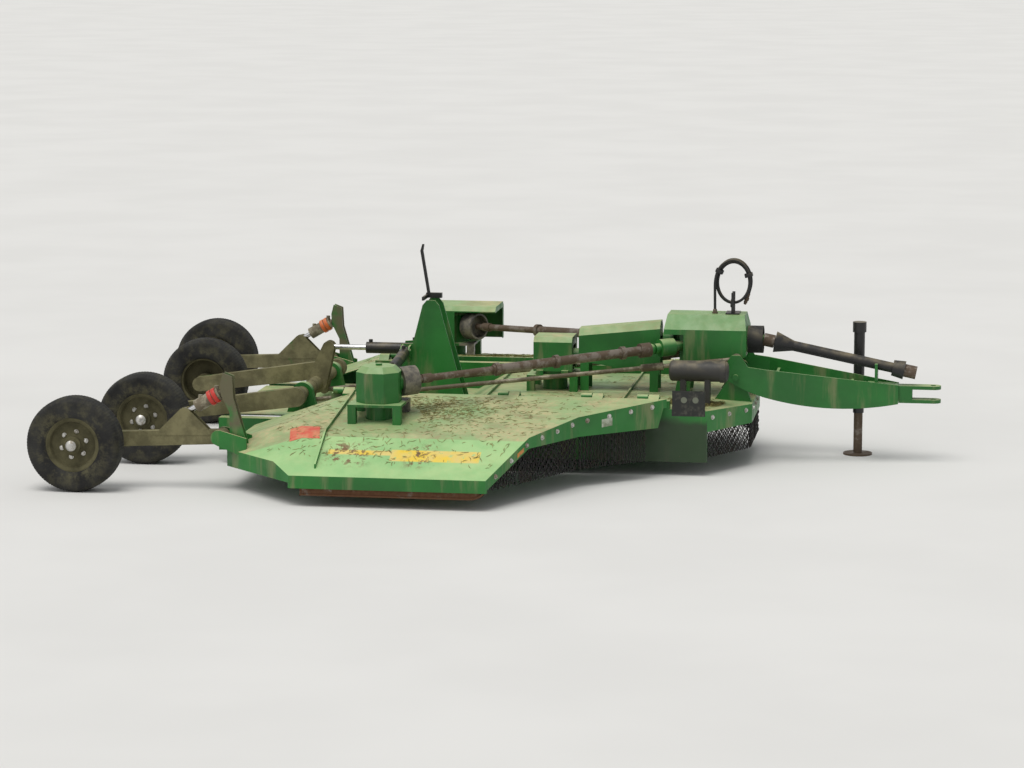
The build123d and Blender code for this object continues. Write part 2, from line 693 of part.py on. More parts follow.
for centre_start, wing_start in hinge_groups():
    span = (wing_start, wing_start + KNUCKLE_LENGTH)
    wing_shell += slab_yz((
        (HINGE_Y, RAIL_TOP_Z + 6), (WING_INNER_Y + 40, HINGE_Z - 65),
        (WING_INNER_Y + 40, HINGE_Z - 6), (HINGE_Y, HINGE_Z + KNUCKLE_RADIUS),
    ), span)
    wing_shell += bar((span[0], HINGE_Y, HINGE_Z), (span[1], HINGE_Y, HINGE_Z), KNUCKLE_RADIUS)
    wing_shell -= bar((span[0] - 1, HINGE_Y, HINGE_Z), (span[1] + 1, HINGE_Y, HINGE_Z),
                      HINGE_PIN_RADIUS + RUNNING_FIT)

# lugs for the fold cylinder's eye
ear_inner = FOLD_EYE_WIDTH / 2 + 3
for low in (FOLD_STATION - ear_inner - FOLD_EAR, FOLD_STATION + ear_inner):
    lug = slab_yz((
        (FOLD_EYE[0] - 60, WING_CREST_Z - 35), (FOLD_EYE[0] + 75, WING_CREST_Z - 45),
        (FOLD_EYE[0] + 26, FOLD_EYE[1] + 26), (FOLD_EYE[0] - 26, FOLD_EYE[1] + 26),
    ), (low, low + FOLD_EAR))
    wing_shell += lug - wing_form(WING_WALL / 2)

# pivot ears and pin for the wheel arm, and the bracket for its cylinder
for ear_y in WING_EAR_Y:
    ear = slab_xz((
        (WING_PIVOT[0] - 10, WING_PIVOT[1] - 42), (800, 190), (800, 300),
        (WING_PIVOT[0] + 10, WING_PIVOT[1] + 42),
    ), ear_y)
    ear += cross_bar(WING_PIVOT, ear_y, 42)
    behind = block((0, WING_REAR_STATION + WING_WALL), (0, WING_OUTER_Y), (0, WING_CREST_Z))
    wing_shell += ear - (wing_form(WING_WALL / 2) - behind)
wing_shell += cross_bar(WING_PIVOT, (WING_EAR_Y[0][0], WING_EAR_Y[1][1]), WING_PIVOT_PIN_RADIUS)
plate_out = WING_EYE_WIDTH / 2 + 1 + WING_GUSSET
plate_in = WING_EYE_WIDTH / 2 + 1
for low in (WING_LIFT_Y - plate_out, WING_LIFT_Y + plate_in):
    post = slab_xz((
        (700, 215), (800, 235), (790, 285), (722, 520), (716, 640),
        (664, 660), (648, 600), (652, 536), (700, 440),
    ), (low, low + WING_GUSSET))
    wing_shell += post - wing_form(WING_WALL / 2)
wing_shell += cross_bar(WING_LIFT_ANCHOR, (WING_LIFT_Y - plate_out, WING_LIFT_Y + plate_out), PIN_RADIUS)
wing_shell -= bar((WING_ROTOR_STATION, WING_ROTOR_Y, 200), (WING_ROTOR_STATION, WING_ROTOR_Y, 500),
                  GEARBOX_NECK_RADIUS + 3)

# skid: a flat shoe under the outer wall, turned up at its nose
skid_y = (WING_OUTER_Y - SKID_WIDTH, WING_OUTER_Y)
skid = block(SKID_STATIONS, skid_y, (SKID_Z, SKID_Z + SKID_THICKNESS))
nose_centre = (SKID_STATIONS[1], SKID_Z + SKID_NOSE_RADIUS)
nose = cross_bar(nose_centre, skid_y, SKID_NOSE_RADIUS)
nose -= cross_bar(nose_centre, (skid_y[0] - 1, skid_y[1] + 1), SKID_NOSE_RADIUS - SKID_THICKNESS)
nose &= block((SKID_STATIONS[1], SKID_STATIONS[1] + SKID_NOSE_RADIUS), skid_y,
              (SKID_Z, SKID_Z + SKID_NOSE_RISE))
web_y = (WING_OUTER_Y - WING_WALL - SEAT_GAP - SKID_WEB, WING_OUTER_Y - WING_WALL - SEAT_GAP)
web = block((SKID_STATIONS[0], SKID_STATIONS[1] + SKID_NOSE_RADIUS / 2), web_y,
            (SKID_Z, SIDE_WALL_Z + SKID_WEB_LAP))
below_nose = block((SKID_STATIONS[1], SKID_STATIONS[1] + SKID_NOSE_RADIUS), web_y, (0, nose_centre[1]))
below_nose -= cross_bar(nose_centre, web_y, SKID_NOSE_RADIUS - SKID_THICKNESS / 2)
skid_solid = skid + nose + (web - below_nose)

wing_curtain_z = (FRONT_WALL_Z + 12, FRONT_WALL_Z + 12)
wing_curtain = curtain(WING_FRONT_INNER, WING_FRONT_MIDDLE, WING_INNER_CURTAIN_ENDS,
                       wing_curtain_z, -curtain_inset)
wing_curtain += curtain(WING_FRONT_MIDDLE, WING_FRONT_OUTER, WING_OUTER_CURTAIN_ENDS,
                        wing_curtain_z, -curtain_inset)
# the last run follows the steep outer panel
outer_run = math.dist(WING_FRONT_MIDDLE, WING_FRONT_OUTER)
tip_tops = []
for at in (WING_TIP_CURTAIN_ENDS[0], outer_run - WING_TIP_CURTAIN_ENDS[1]):
    at_y = WING_FRONT_MIDDLE[1] + (WING_OUTER_Y - WING_FRONT_MIDDLE[1]) * at / outer_run
    tip_tops.append(knee_z - (at_y - WING_KNEE_Y) * WING_OUTER_FALL - CHAIN_BELOW_ROOF)
wing_curtain += curtain(WING_FRONT_MIDDLE, WING_FRONT_OUTER, WING_TIP_CURTAIN_ENDS, tip_tops, -curtain_inset)
for side in ("left", "right"):
    nodes["wing_deck_" + side] = sided(wing_shell, side)
    nodes["wing_skid_" + side] = sided(skid_solid, side)
    nodes["wing_chains_" + side] = sided(wing_curtain, side)


# Gearboxes
def octagon(width, z, lean=0):
    """An upright eight-sided post about the Z axis, narrower by lean at its top."""
    radius = width / 2 / math.cos(math.pi / 8)
    base = Pos(0, 0, z[0]) * RegularPolygon(radius, 8, rotation=22.5)
    if lean == 0:
        return extrude(base, amount=z[1] - z[0])
    top = Pos(0, 0, z[1]) * RegularPolygon(radius - lean, 8, rotation=22.5)
    return loft([base, top])


def gearbox_solid(deck_cut, width):
    """Pedestal, body and neck about the Z axis, without what lies in the deck."""
    half = PEDESTAL_WIDTH / 2
    pad = block((-half, half), (-half, half), (SIDE_WALL_Z, GEARBOX_BASE_Z))
    between_legs = (-half + PEDESTAL_LEG, half - PEDESTAL_LEG)
    right_across = (-half - 1, half + 1)
    for span_x, span_y in ((between_legs, right_across), (right_across, between_legs)):
        pad -= block(span_x, span_y, (0, GEARBOX_BASE_Z - PEDESTAL_FLANGE))
    pad -= deck_cut
    shape = pad + bar((0, 0, GEARBOX_NECK_Z), (0, 0, GEARBOX_BASE_Z), GEARBOX_NECK_RADIUS)
    shape += octagon(width, (GEARBOX_BASE_Z, GEARBOX_TOP_Z))
    top = GEARBOX_TOP_Z + GEARBOX_CAP
    shape += octagon(width, (GEARBOX_TOP_Z, top), GEARBOX_CAP_LEAN)
    shape += bar((0, 0, top), (0, 0, top + GEARBOX_PLUG), GEARBOX_PLUG_RADIUS)
    shape -= bar((0, 0, 0), (0, 0, GEARBOX_NECK_Z + SHAFT_ENGAGEMENT), ROTOR_SHAFT_RADIUS + RUNNING_FIT)
    return shape


gearbox_place = (WING_ROTOR_STATION, WING_ROTOR_Y, INPUT_Z)
drive_line = Vector(*WING_DRIVE_FRONT) - Vector(*gearbox_place)
drive_length = drive_line.length
drive_way = (drive_line.X, drive_line.Y, drive_line.Z)
wing_cut = Pos(-WING_ROTOR_STATION, -WING_ROTOR_Y, 0) * wing_form(-SEAT_GAP)
clutch_from = along(gearbox_place, drive_way, CLUTCH_START)
clutch_to = along(gearbox_place, drive_way, CLUTCH_START + CLUTCH_LENGTH)
recess_at = CLUTCH_START + CLUTCH_LENGTH - CLUTCH_RECESS
for side, width in (("left", GEARBOX_WIDTH), ("right", RIGHT_GEARBOX_WIDTH)):
    wing_gearbox = Pos(WING_ROTOR_STATION, WING_ROTOR_Y, 0) * gearbox_solid(wing_cut, width)
    wing_gearbox += bar(gearbox_place, along(gearbox_place, drive_way, CLUTCH_START + 10), INPUT_BOSS_RADIUS)
    wing_gearbox += bar(clutch_from, clutch_to, CLUTCH_RADIUS)
    wing_gearbox -= bar(along(gearbox_place, drive_way, recess_at),
                        along(gearbox_place, drive_way, recess_at + 2 * CLUTCH_RECESS), CLUTCH_BORE)
    nodes["wing_gearbox_" + side] = sided(wing_gearbox, side)

centre_cut = Pos(-CENTRE_ROTOR_STATION, 0, 0) * centre_form(-SEAT_GAP)
gear_front = CENTRE_ROTOR_STATION + GEARBOX_WIDTH / 2
input_radius, input_length = CENTRE_INPUT
wide = (-PEDESTAL_WIDTH, PEDESTAL_WIDTH)
centre_gearbox = Pos(CENTRE_ROTOR_STATION, 0, 0) * (
    gearbox_solid(centre_cut, GEARBOX_WIDTH) - block(wide, wide, (CENTRE_GEARBOX_TOP_Z, SHIELD_TOP_Z)))
centre_gearbox += bar((CENTRE_ROTOR_STATION, 0, CENTRE_INPUT_Z),
                      (gear_front + input_length, 0, CENTRE_INPUT_Z), input_radius)
nodes["centre_gearbox"] = centre_gearbox

# drive between the splitter and the centre gearbox: two joint yokes and a shaft
shaft_low = (gear_front + input_length + SEAT_GAP, 0, CENTRE_INPUT_Z)
shaft_high = (SPLITTER_STATIONS[0] - SEAT_GAP, 0, DRIVE_SHAFT_FRONT_Z)
shaft_way = tuple(b - a for a, b in zip(shaft_low, shaft_high))
shaft_reach = Vector(*shaft_way).length
centre_shaft = bar(shaft_low, shaft_high, DRIVE_SHAFT_RADIUS)
for low, high in (DRIVE_YOKE, (shaft_reach - DRIVE_YOKE[1], shaft_reach - DRIVE_YOKE[0])):
    centre_shaft += bar(along(shaft_low, shaft_way, low), along(shaft_low, shaft_way, high), JOINT_RADIUS)
centre_shaft &= block((shaft_low[0], shaft_high[0]), (-JOINT_RADIUS, JOINT_RADIUS), (0, SHIELD_TOP_Z))
nodes["centre_shaft"] = centre_shaft


# Sheet-metal shields: open-bottomed boxes with bevelled tops
def box_shield(x, y, z, bevel, sheet):
    outer = slab_yz((
        (y[0], z[0]), (y[0], z[1] - bevel), (y[0] + bevel, z[1]),
        (y[1] - bevel, z[1]), (y[1], z[1] - bevel), (y[1], z[0]),
    ), x)
    slim = (math.sqrt(2) - 1) * sheet
    inner = slab_yz((
        (y[0] + sheet, z[0] - 1), (y[0] + sheet, z[1] - bevel - slim), (y[0] + bevel + slim, z[1] - sheet),
        (y[1] - bevel - slim, z[1] - sheet), (y[1] - sheet, z[1] - bevel - slim), (y[1] - sheet, z[0] - 1),
    ), (x[0] + sheet, x[1] - sheet))
    return outer - inner


half = GEARBOX_SHIELD_HALF_WIDTH
low, high = GEARBOX_SHIELD_STATIONS
window, window_z = GEARBOX_SHIELD_WINDOW
cover = box_shield(GEARBOX_SHIELD_STATIONS, (-half, half), GEARBOX_SHIELD_Z,
                   GEARBOX_SHIELD_BEVEL, SHIELD_SHEET)
cover -= block((high - 20, high + 20), (-window, window), (GEARBOX_BASE_Z, window_z))
foot_length, foot_width = GEARBOX_SHIELD_FOOT
for sign in (1, -1):
    foot = sorted((sign * (half - SHIELD_SHEET), sign * (half - SHIELD_SHEET + foot_width)))
    for start in (low + 20, high - 20 - foot_length):
        cover += block((start, start + foot_length), foot,
                       (GEARBOX_BASE_Z + SEAT_GAP, GEARBOX_SHIELD_Z[0] + 8))
nodes["centre_gearbox_shield"] = cover


def driveline_form(inset):
    """The shield's outer form, deeper towards the front, with its top edges cut off."""
    low, high = DRIVE_SHIELD_STATIONS
    half = DRIVE_SHIELD_HALF_WIDTH
    rear, front = DRIVE_SHIELD_REAR_Z, DRIVE_SHIELD_FRONT_Z
    rise = (front[1] - rear[1]) / (high - low)
    form = slab_xz((
        (low + inset, rear[0] - 2 * inset), (low + inset, rear[1] - inset + rise * inset),
        (high - inset, front[1] - inset - rise * inset), (high - inset, front[0] - 2 * inset),
    ), (-half + inset, half - inset))
    edges = []
    for sign in (1, -1):
        edges.append(((low, sign * (half - DRIVE_SHIELD_BEVEL), rear[1]), (-rise, sign, 1)))
    return cut_by_planes(form, edges, inset)


tunnel = driveline_form(0) - driveline_form(SHIELD_SHEET)
opening, opening_z = DRIVE_SHIELD_OPENING
leg_length, leg_thickness = DRIVE_SHIELD_LEG
half = DRIVE_SHIELD_HALF_WIDTH
for station, leg_start, sheet_z in (
    (DRIVE_SHIELD_STATIONS[0], DRIVE_SHIELD_STATIONS[0] + 10, DRIVE_SHIELD_REAR_Z[0]),
    (DRIVE_SHIELD_STATIONS[1], DRIVE_SHIELD_STATIONS[1] - 10 - leg_length, DRIVE_SHIELD_FRONT_Z[0] + 15),
):
    tunnel -= block((station - 10, station + 10), (-opening, opening), (MAIN_TOP_Z, opening_z))
    for sign in (1, -1):
        leg_y = sorted((sign * (half - leg_thickness), sign * half))
        tunnel += block((leg_start, leg_start + leg_length), leg_y, (MAIN_TOP_Z + SEAT_GAP, sheet_z + 5))
nodes["driveline_shield"] = tunnel

# the wing shield covers the left gearbox and is open towards the shaft
wing_cover = box_shield(WING_SHIELD_STATIONS, WING_SHIELD_Y, WING_SHIELD_Z,
                        GEARBOX_SHIELD_BEVEL, SHIELD_SHEET)
window_z = (GEARBOX_BASE_Z - 1, WING_SHIELD_WINDOW_Z)
wing_cover -= block((WING_SHIELD_STATIONS[1] - 20, WING_SHIELD_STATIONS[1] + 20),
                    (WING_SHIELD_Y[0] - 10, WING_SHIELD_Y[1] - 40), window_z)
wing_cover -= block((WING_SHIELD_STATIONS[0] + WING_SHIELD_WINDOW_START, WING_SHIELD_STATIONS[1] + 20),
                    (WING_SHIELD_Y[0] - 10, WING_SHIELD_Y[0] + 10), window_z)
nodes["wing_gearbox_shield_left"] = wing_cover


# Splitter gearbox, its stand and its shield
splitter = block(SPLITTER_STATIONS, (-SPLITTER_HALF_WIDTH, SPLITTER_HALF_WIDTH), SPLITTER_Z)
for sign in (1, -1):
    leg_y = sorted((sign * (SPLITTER_HALF_WIDTH - SPLITTER_STAND), sign * SPLITTER_HALF_WIDTH))
    leg = slab_xz((
        (SPLITTER_STATIONS[0], SPLITTER_Z[0] + 10), (SPLITTER_STATIONS[0] - 40, 300),
        (SPLITTER_STATIONS[1] + 40, 300), (SPLITTER_STATIONS[1] - 10, SPLITTER_Z[0] + 10),
    ), leg_y)
    leg -= slab_xz((
        (SPLITTER_STATIONS[0] + 70, SPLITTER_Z[0] - 30), (SPLITTER_STATIONS[0] + 50, 290),
        (SPLITTER_STATIONS[1] - 40, 290), (SPLITTER_STATIONS[1] - 70, SPLITTER_Z[0] - 30),
    ), (leg_y[0] - 1, leg_y[1] + 1))
    splitter += leg - centre_form(-SEAT_GAP)
stub_from = along(WING_DRIVE_FRONT, drive_way, STUB_START)
stub_to = along(WING_DRIVE_FRONT, drive_way, BALL_RADIUS - 4)
for side in ("left", "right"):
    stub = bar(along(WING_DRIVE_FRONT, drive_way, STUB_START + 60), stub_to, STUB_RADIUS)
    stub += bar(stub_from, along(WING_DRIVE_FRONT, drive_way, JOINT_RADIUS + 20), INPUT_BOSS_RADIUS)
    stub += Pos(*WING_DRIVE_FRONT) * Sphere(BALL_RADIUS)
    splitter += sided(stub, side)
input_boss = SPLITTER_STATIONS[1] + SPLITTER_STAND * 3


def input_bar(low, high, radius):
    """A round bar on the splitter's input axis, from one station to another."""
    return bar((low, 0, INPUT_AXIS_Z), (high, 0, INPUT_AXIS_Z), radius)


splitter += input_bar(SPLITTER_STATIONS[1] - 5, input_boss, INPUT_BOSS_RADIUS)
splitter += input_bar(SPLITTER_STATIONS[1], PTO_PIVOT[0] - PTO_BALL_RADIUS / 2, PTO_STUB_RADIUS)
splitter += Pos(PTO_PIVOT[0], 0, INPUT_AXIS_Z) * Sphere(PTO_BALL_RADIUS)
nodes["splitter_gearbox"] = splitter


def hipped(x, half, z, inset):
    """A box with a hipped roof, moved inwards by inset."""
    middle = (x[0] + x[1]) / 2
    base = Pos(middle, 0, z[1]) * Rectangle(x[1] - x[0] - 2 * inset, 2 * (half - inset))
    top = Pos(middle, 0, SHIELD_TOP_Z - inset) * Rectangle(
        x[1] - x[0] - 2 * SHIELD_END_HIP - 2 * inset, 2 * (half - SHIELD_SIDE_HIP) - inset)
    body = block((x[0] + inset, x[1] - inset), (-half + inset, half - inset), (z[0] - inset, z[1]))
    return body + loft([base, top])


hood = hipped(SHIELD_STATIONS, SHIELD_HALF_WIDTH, SHIELD_Z, 0)
hood -= hipped(SHIELD_STATIONS, SHIELD_HALF_WIDTH, SHIELD_Z, SHIELD_SHEET)
wide = (-SHIELD_HALF_WIDTH - 10, SHIELD_HALF_WIDTH + 10)
hood -= block((SHIELD_STATIONS[0] - 10, SHIELD_STATIONS[0] + SHIELD_WINDOW[0]), wide,
              (SHIELD_Z[0] - 10, SHIELD_WINDOW[1]))
hood -= slab_xz((
    (SHIELD_STATIONS[1] - SHIELD_CORNER[0], SHIELD_Z[0] - 1), (SHIELD_STATIONS[1] + 1, SHIELD_Z[0] - 1),
    (SHIELD_STATIONS[1] + 1, SHIELD_Z[0] + SHIELD_CORNER[1]),
), wide)
hood -= input_bar(SHIELD_STATIONS[1] - 20, SHIELD_STATIONS[1] + 20, INPUT_BOSS_RADIUS + 8)
for sign in (1, -1):
    tab_y = sorted((sign * (SPLITTER_HALF_WIDTH + SEAT_GAP), sign * (SHIELD_HALF_WIDTH - 1)))
    for station in SHIELD_TAB_STATIONS:
        hood += block((station, station + SHIELD_TAB[0]), tab_y, (SHIELD_TAB_Z, SHIELD_TAB_Z + SHIELD_TAB[1]))
nodes["front_shield"] = hood
bell = input_bar(BELL_STATIONS[0] + SEAT_GAP, BELL_STATIONS[1], BELL_RADIUS)
bell -= input_bar(BELL_STATIONS[0] - 5, BELL_STATIONS[1] + 5, BELL_RADIUS - BELL_WALL)
nodes["drive_bell"] = bell


# Wing drive shafts: the tube swings on the splitter, the inner bar slides in it
def wing_shafts():
    rear_way = tuple(-value for value in drive_way)
    start = WING_DRIVE_FRONT
    tube = bar(along(start, rear_way, 8), along(start, rear_way, OUTER_TUBE_LENGTH), OUTER_TUBE_RADIUS)
    tube += bar(along(start, rear_way, YOKE_SETBACK), along(start, rear_way, JOINT_LENGTH), JOINT_RADIUS)
    for at in COLLAR_AT:
        tube += bar(along(start, rear_way, at), along(start, rear_way, at + COLLAR_LENGTH), COLLAR_RADIUS)
    inner_from = OUTER_TUBE_LENGTH - INNER_TUBE_OVERLAP
    tube -= bar(along(start, rear_way, inner_from - INNER_TUBE_BORE),
                along(start, rear_way, OUTER_TUBE_LENGTH + 5), INNER_TUBE_RADIUS + CYLINDER_FIT)
    tube -= Pos(*start) * Sphere(BALL_RADIUS + SEAT_GAP)
    end_at = drive_length - recess_at - CLUTCH_STANDOFF
    inner_bar = bar(along(start, rear_way, inner_from), along(start, rear_way, end_at), INNER_TUBE_RADIUS)
    collar_from, collar_to = (end_at - back for back in INNER_COLLAR_AT)
    inner_bar += bar(along(start, rear_way, collar_from), along(start, rear_way, collar_to),
                     INNER_COLLAR_RADIUS)
    return tube, inner_bar


shaft_tube, shaft_bar = wing_shafts()
for side in ("left", "right"):
    nodes["wing_shaft_tube_" + side] = sided(shaft_tube, side)
    nodes["wing_shaft_bar_" + side] = sided(shaft_bar, side)


# Blade rotors: a dished pan on a shaft, with two hanging blades
def rotor_solid():
    pan = revolve(Plane.XZ * make_face(Polyline(
        (0, PAN_Z), (PAN_RADIUS - 60, PAN_Z), (PAN_RADIUS, PAN_Z + PAN_RIM),
        (PAN_RADIUS - 6, PAN_Z + PAN_RIM + 4), (PAN_RADIUS - 64, PAN_Z + PAN_THICKNESS),
        (0, PAN_Z + PAN_THICKNESS), close=True)), Axis.Z)
    shape = pan + bar((0, 0, PAN_Z), (0, 0, PAN_Z + 90), ROTOR_HUB_RADIUS)
    shape += bar((0, 0, PAN_Z + 80), (0, 0, GEARBOX_NECK_Z + SHAFT_ENGAGEMENT - 4), ROTOR_SHAFT_RADIUS)
    half = BLADE_WIDTH / 2
    blade_z = (PAN_Z - BLADE_THICKNESS - SEAT_GAP + 0.5, PAN_Z + 0.2)
    tip = math.sqrt(ROTOR_RADIUS ** 2 - half ** 2)
    for turn in (0, 180):
        outline = (
            (BLADE_ROOT_RADIUS, -half + 20), (BLADE_ROOT_RADIUS + 25, -half), (tip, -half), (tip, half - 30),
            (tip - 40, half), (BLADE_ROOT_RADIUS + 25, half), (BLADE_ROOT_RADIUS, half - 20),
        )
        blade = slab_xy(outline, blade_z)
        blade += bar((BLADE_PIVOT_RADIUS, 0, blade_z[0] - 10), (BLADE_PIVOT_RADIUS, 0, PAN_Z + PAN_RIM),
                     BLADE_BOLT_RADIUS)
        shape += Rot(0, 0, turn) * blade
    return shape


rotor = rotor_solid()
ROTORS = (
    # name, station, y, turn of the blades in degrees
    ("centre", CENTRE_ROTOR_STATION, 0, 20),
    ("left", WING_ROTOR_STATION, WING_ROTOR_Y, -35),
    ("right", WING_ROTOR_STATION, -WING_ROTOR_Y, 60),
)
for name, station, rotor_y, turn in ROTORS:
    nodes["blade_rotor_" + name] = Pos(station, rotor_y, 0) * Rot(0, 0, turn) * rotor


# Mast with the ears for the fold cylinders
mast = None
for sign in (1, -1):
    plate_y = sorted((sign * MAST_PLATE_Y, sign * (MAST_PLATE_Y + MAST_PLATE)))
    plate = slab_xz((
        (MAST_BASE[0], TAIL_TOP_Z + SEAT_GAP), (MAST_BASE[1], TAIL_TOP_Z + SEAT_GAP),
        (MAST_TOP[1], MAST_TOP_Z - 30), (MAST_TOP[1] - 25, MAST_TOP_Z), (MAST_TOP[0] + 25, MAST_TOP_Z),
        (MAST_TOP[0], MAST_TOP_Z - 30),
    ), plate_y)
    plate -= centre_form(-SEAT_GAP)
    mast = plate if mast is None else mast + plate
    for low in (FOLD_STATION - ear_inner - FOLD_EAR, FOLD_STATION + ear_inner):
        ear = slab_yz([(sign * py, pz) for py, pz in (
            (MAST_PLATE_Y + 4, FOLD_ANCHOR[1] - 70), (FOLD_ANCHOR[0] + 10, FOLD_ANCHOR[1] - 30),
            (FOLD_ANCHOR[0] + 28, FOLD_ANCHOR[1]), (FOLD_ANCHOR[0] + 10, FOLD_ANCHOR[1] + 28),
            (MAST_PLATE_Y + 4, FOLD_ANCHOR[1] + 34),
        )], (low, low + FOLD_EAR))
        mast += ear
    mast += bar((FOLD_STATION - ear_inner - FOLD_EAR - 6, sign * FOLD_ANCHOR[0], FOLD_ANCHOR[1]),
                (FOLD_STATION + ear_inner + FOLD_EAR + 6, sign * FOLD_ANCHOR[0], FOLD_ANCHOR[1]), PIN_RADIUS)
    front_ear = slab_xz((
        (FOLD_STATION - 45, FOLD_ANCHOR[1] - 74), (MAST_STATION, FOLD_ANCHOR[1] - 74),
        (MAST_STATION, FOLD_ANCHOR[1] + 50), (FOLD_STATION - 35, FOLD_ANCHOR[1] + 36),
    ), plate_y)
    mast += front_ear
mast += cross_bar(LIFT_ANCHOR, (-MAST_PLATE_Y - 2, MAST_PLATE_Y + 2), PIN_RADIUS)
mast += block((MAST_STATION - 20, MAST_STATION + 20), (-MAST_PLATE_Y - 2, MAST_PLATE_Y + 2),
              (MAST_TOP_Z - 60, MAST_TOP_Z - 40))
mast += block((MAST_BASE[1] - 90, MAST_BASE[1] - 78), (-MAST_PLATE_Y - 2, MAST_PLATE_Y + 2),
              (TAIL_TOP_Z + 60, TAIL_TOP_Z + 180))
nodes["lift_mast"] = mast
lock = block((MAST_STATION - 50, MAST_STATION - 50 + 12), (-MAST_PLATE_Y - 30, MAST_PLATE_Y + 30),
             (MAST_TOP_Z + SEAT_GAP, MAST_TOP_Z + 22))
lock += block((MAST_STATION - 50, MAST_STATION + 45), (MAST_PLATE_Y - 16, MAST_PLATE_Y + MAST_PLATE),
              (MAST_TOP_Z + SEAT_GAP, MAST_TOP_Z + 30))
lock += slab_xz((
    (MAST_STATION - 40, MAST_TOP_Z + 10), (MAST_STATION - 22, MAST_TOP_Z + 10),
    (MAST_STATION - 66, LOCK_BAR_TOP_Z - 40), (MAST_STATION - 60, LOCK_BAR_TOP_Z),
    (MAST_STATION - 72, LOCK_BAR_TOP_Z), (MAST_STATION - 84, LOCK_BAR_TOP_Z - 40),
), (MAST_PLATE_Y - 14, MAST_PLATE_Y - 2))
nodes["lock_bar"] = lock


# Centre axle: rockshaft, arms, spindles, lever and lugs
axle = cross_bar((ROCKSHAFT_STATION, ROCKSHAFT_Z), (-ARM_Y[1], ARM_Y[1]), ROCKSHAFT_RADIUS)
rod_rear = (ROCKSHAFT_STATION, ROCKSHAFT_Z - ROD_LUG_DROP)
for sign in (1, -1):
    arm_y = sorted((sign * ARM_Y[0], sign * ARM_Y[1]))
    axle += link_plate(((ROCKSHAFT_STATION, ROCKSHAFT_Z), (0, HUB_Z)),
                       (ARM_HUB_RADIUS + 8, ARM_HUB_RADIUS - 4), arm_y)
    spindle_end = CENTRE_WHEEL_Y + RIM_WIDTH / 2 - 12
    spindle_y = sorted((sign * (ARM_Y[1] - 10), sign * spindle_end))
    axle += cross_bar((0, HUB_Z), spindle_y, SPINDLE_RADIUS)
    collar_y = sorted((sign * ARM_Y[1], sign * (CENTRE_WHEEL_Y - RIM_WIDTH / 2 - SEAT_GAP)))
    axle += cross_bar((0, HUB_Z), collar_y, SPINDLE_RADIUS + SPINDLE_COLLAR)
    lever_y = sorted((sign * LEVER_PLATE_Y[0], sign * LEVER_PLATE_Y[1]))
    axle += link_plate(((ROCKSHAFT_STATION, ROCKSHAFT_Z), LEVER_PIN), (BEARING_RADIUS, LEVER_RADIUS), lever_y)
    for offset in (-ROD_EYE_WIDTH / 2 - 1 - ROD_LUG_PLATE, ROD_EYE_WIDTH / 2 + 1):
        low = sign * ROD_Y + offset
        axle += link_plate(((ROCKSHAFT_STATION, ROCKSHAFT_Z), rod_rear), (ROCKSHAFT_RADIUS + 2, 24),
                           (low, low + ROD_LUG_PLATE))
    reach = ROD_EYE_WIDTH / 2 + 1 + ROD_LUG_PLATE
    axle += cross_bar(rod_rear, (sign * ROD_Y - reach, sign * ROD_Y + reach), ROD_PIN_RADIUS)
axle += cross_bar(LEVER_PIN, (-LEVER_PLATE_Y[1], LEVER_PLATE_Y[1]), PIN_RADIUS)
nodes["centre_axle"] = axle

# levelling rods, from the rockshaft's lugs to the tongue's lugs
rod_front = (TONGUE_PIVOT[0], TONGUE_PIVOT[1] + TONGUE_LUG_RISE)
rods = []
for sign in (1, -1):
    eye_y = (sign * ROD_Y - ROD_EYE_WIDTH / 2, sign * ROD_Y + ROD_EYE_WIDTH / 2)
    start = (rod_rear[0], sign * ROD_Y, rod_rear[1])
    end = (rod_front[0], sign * ROD_Y, rod_front[1])
    way = tuple(b - a for a, b in zip(start, end))
    length = Vector(*way).length
    shape = bar(start, end, ROD_RADIUS)
    shape += bar(along(start, way, length - 560), along(start, way, length - 430), ROD_RADIUS + 9)
    shape += cross_bar(rod_rear, eye_y, ROD_LUG_RADIUS - 3) + cross_bar(rod_front, eye_y, ROD_LUG_RADIUS + 5)
    shape -= cross_bar(rod_rear, (eye_y[0] - 1, eye_y[1] + 1), ROD_PIN_RADIUS + RUNNING_FIT)
    shape -= cross_bar(rod_front, (eye_y[0] - 1, eye_y[1] + 1), ROD_PIN_RADIUS + EYE_DRIFT + 3)
    rods.append(shape)
nodes["level_rods"] = rods[0] + rods[1]


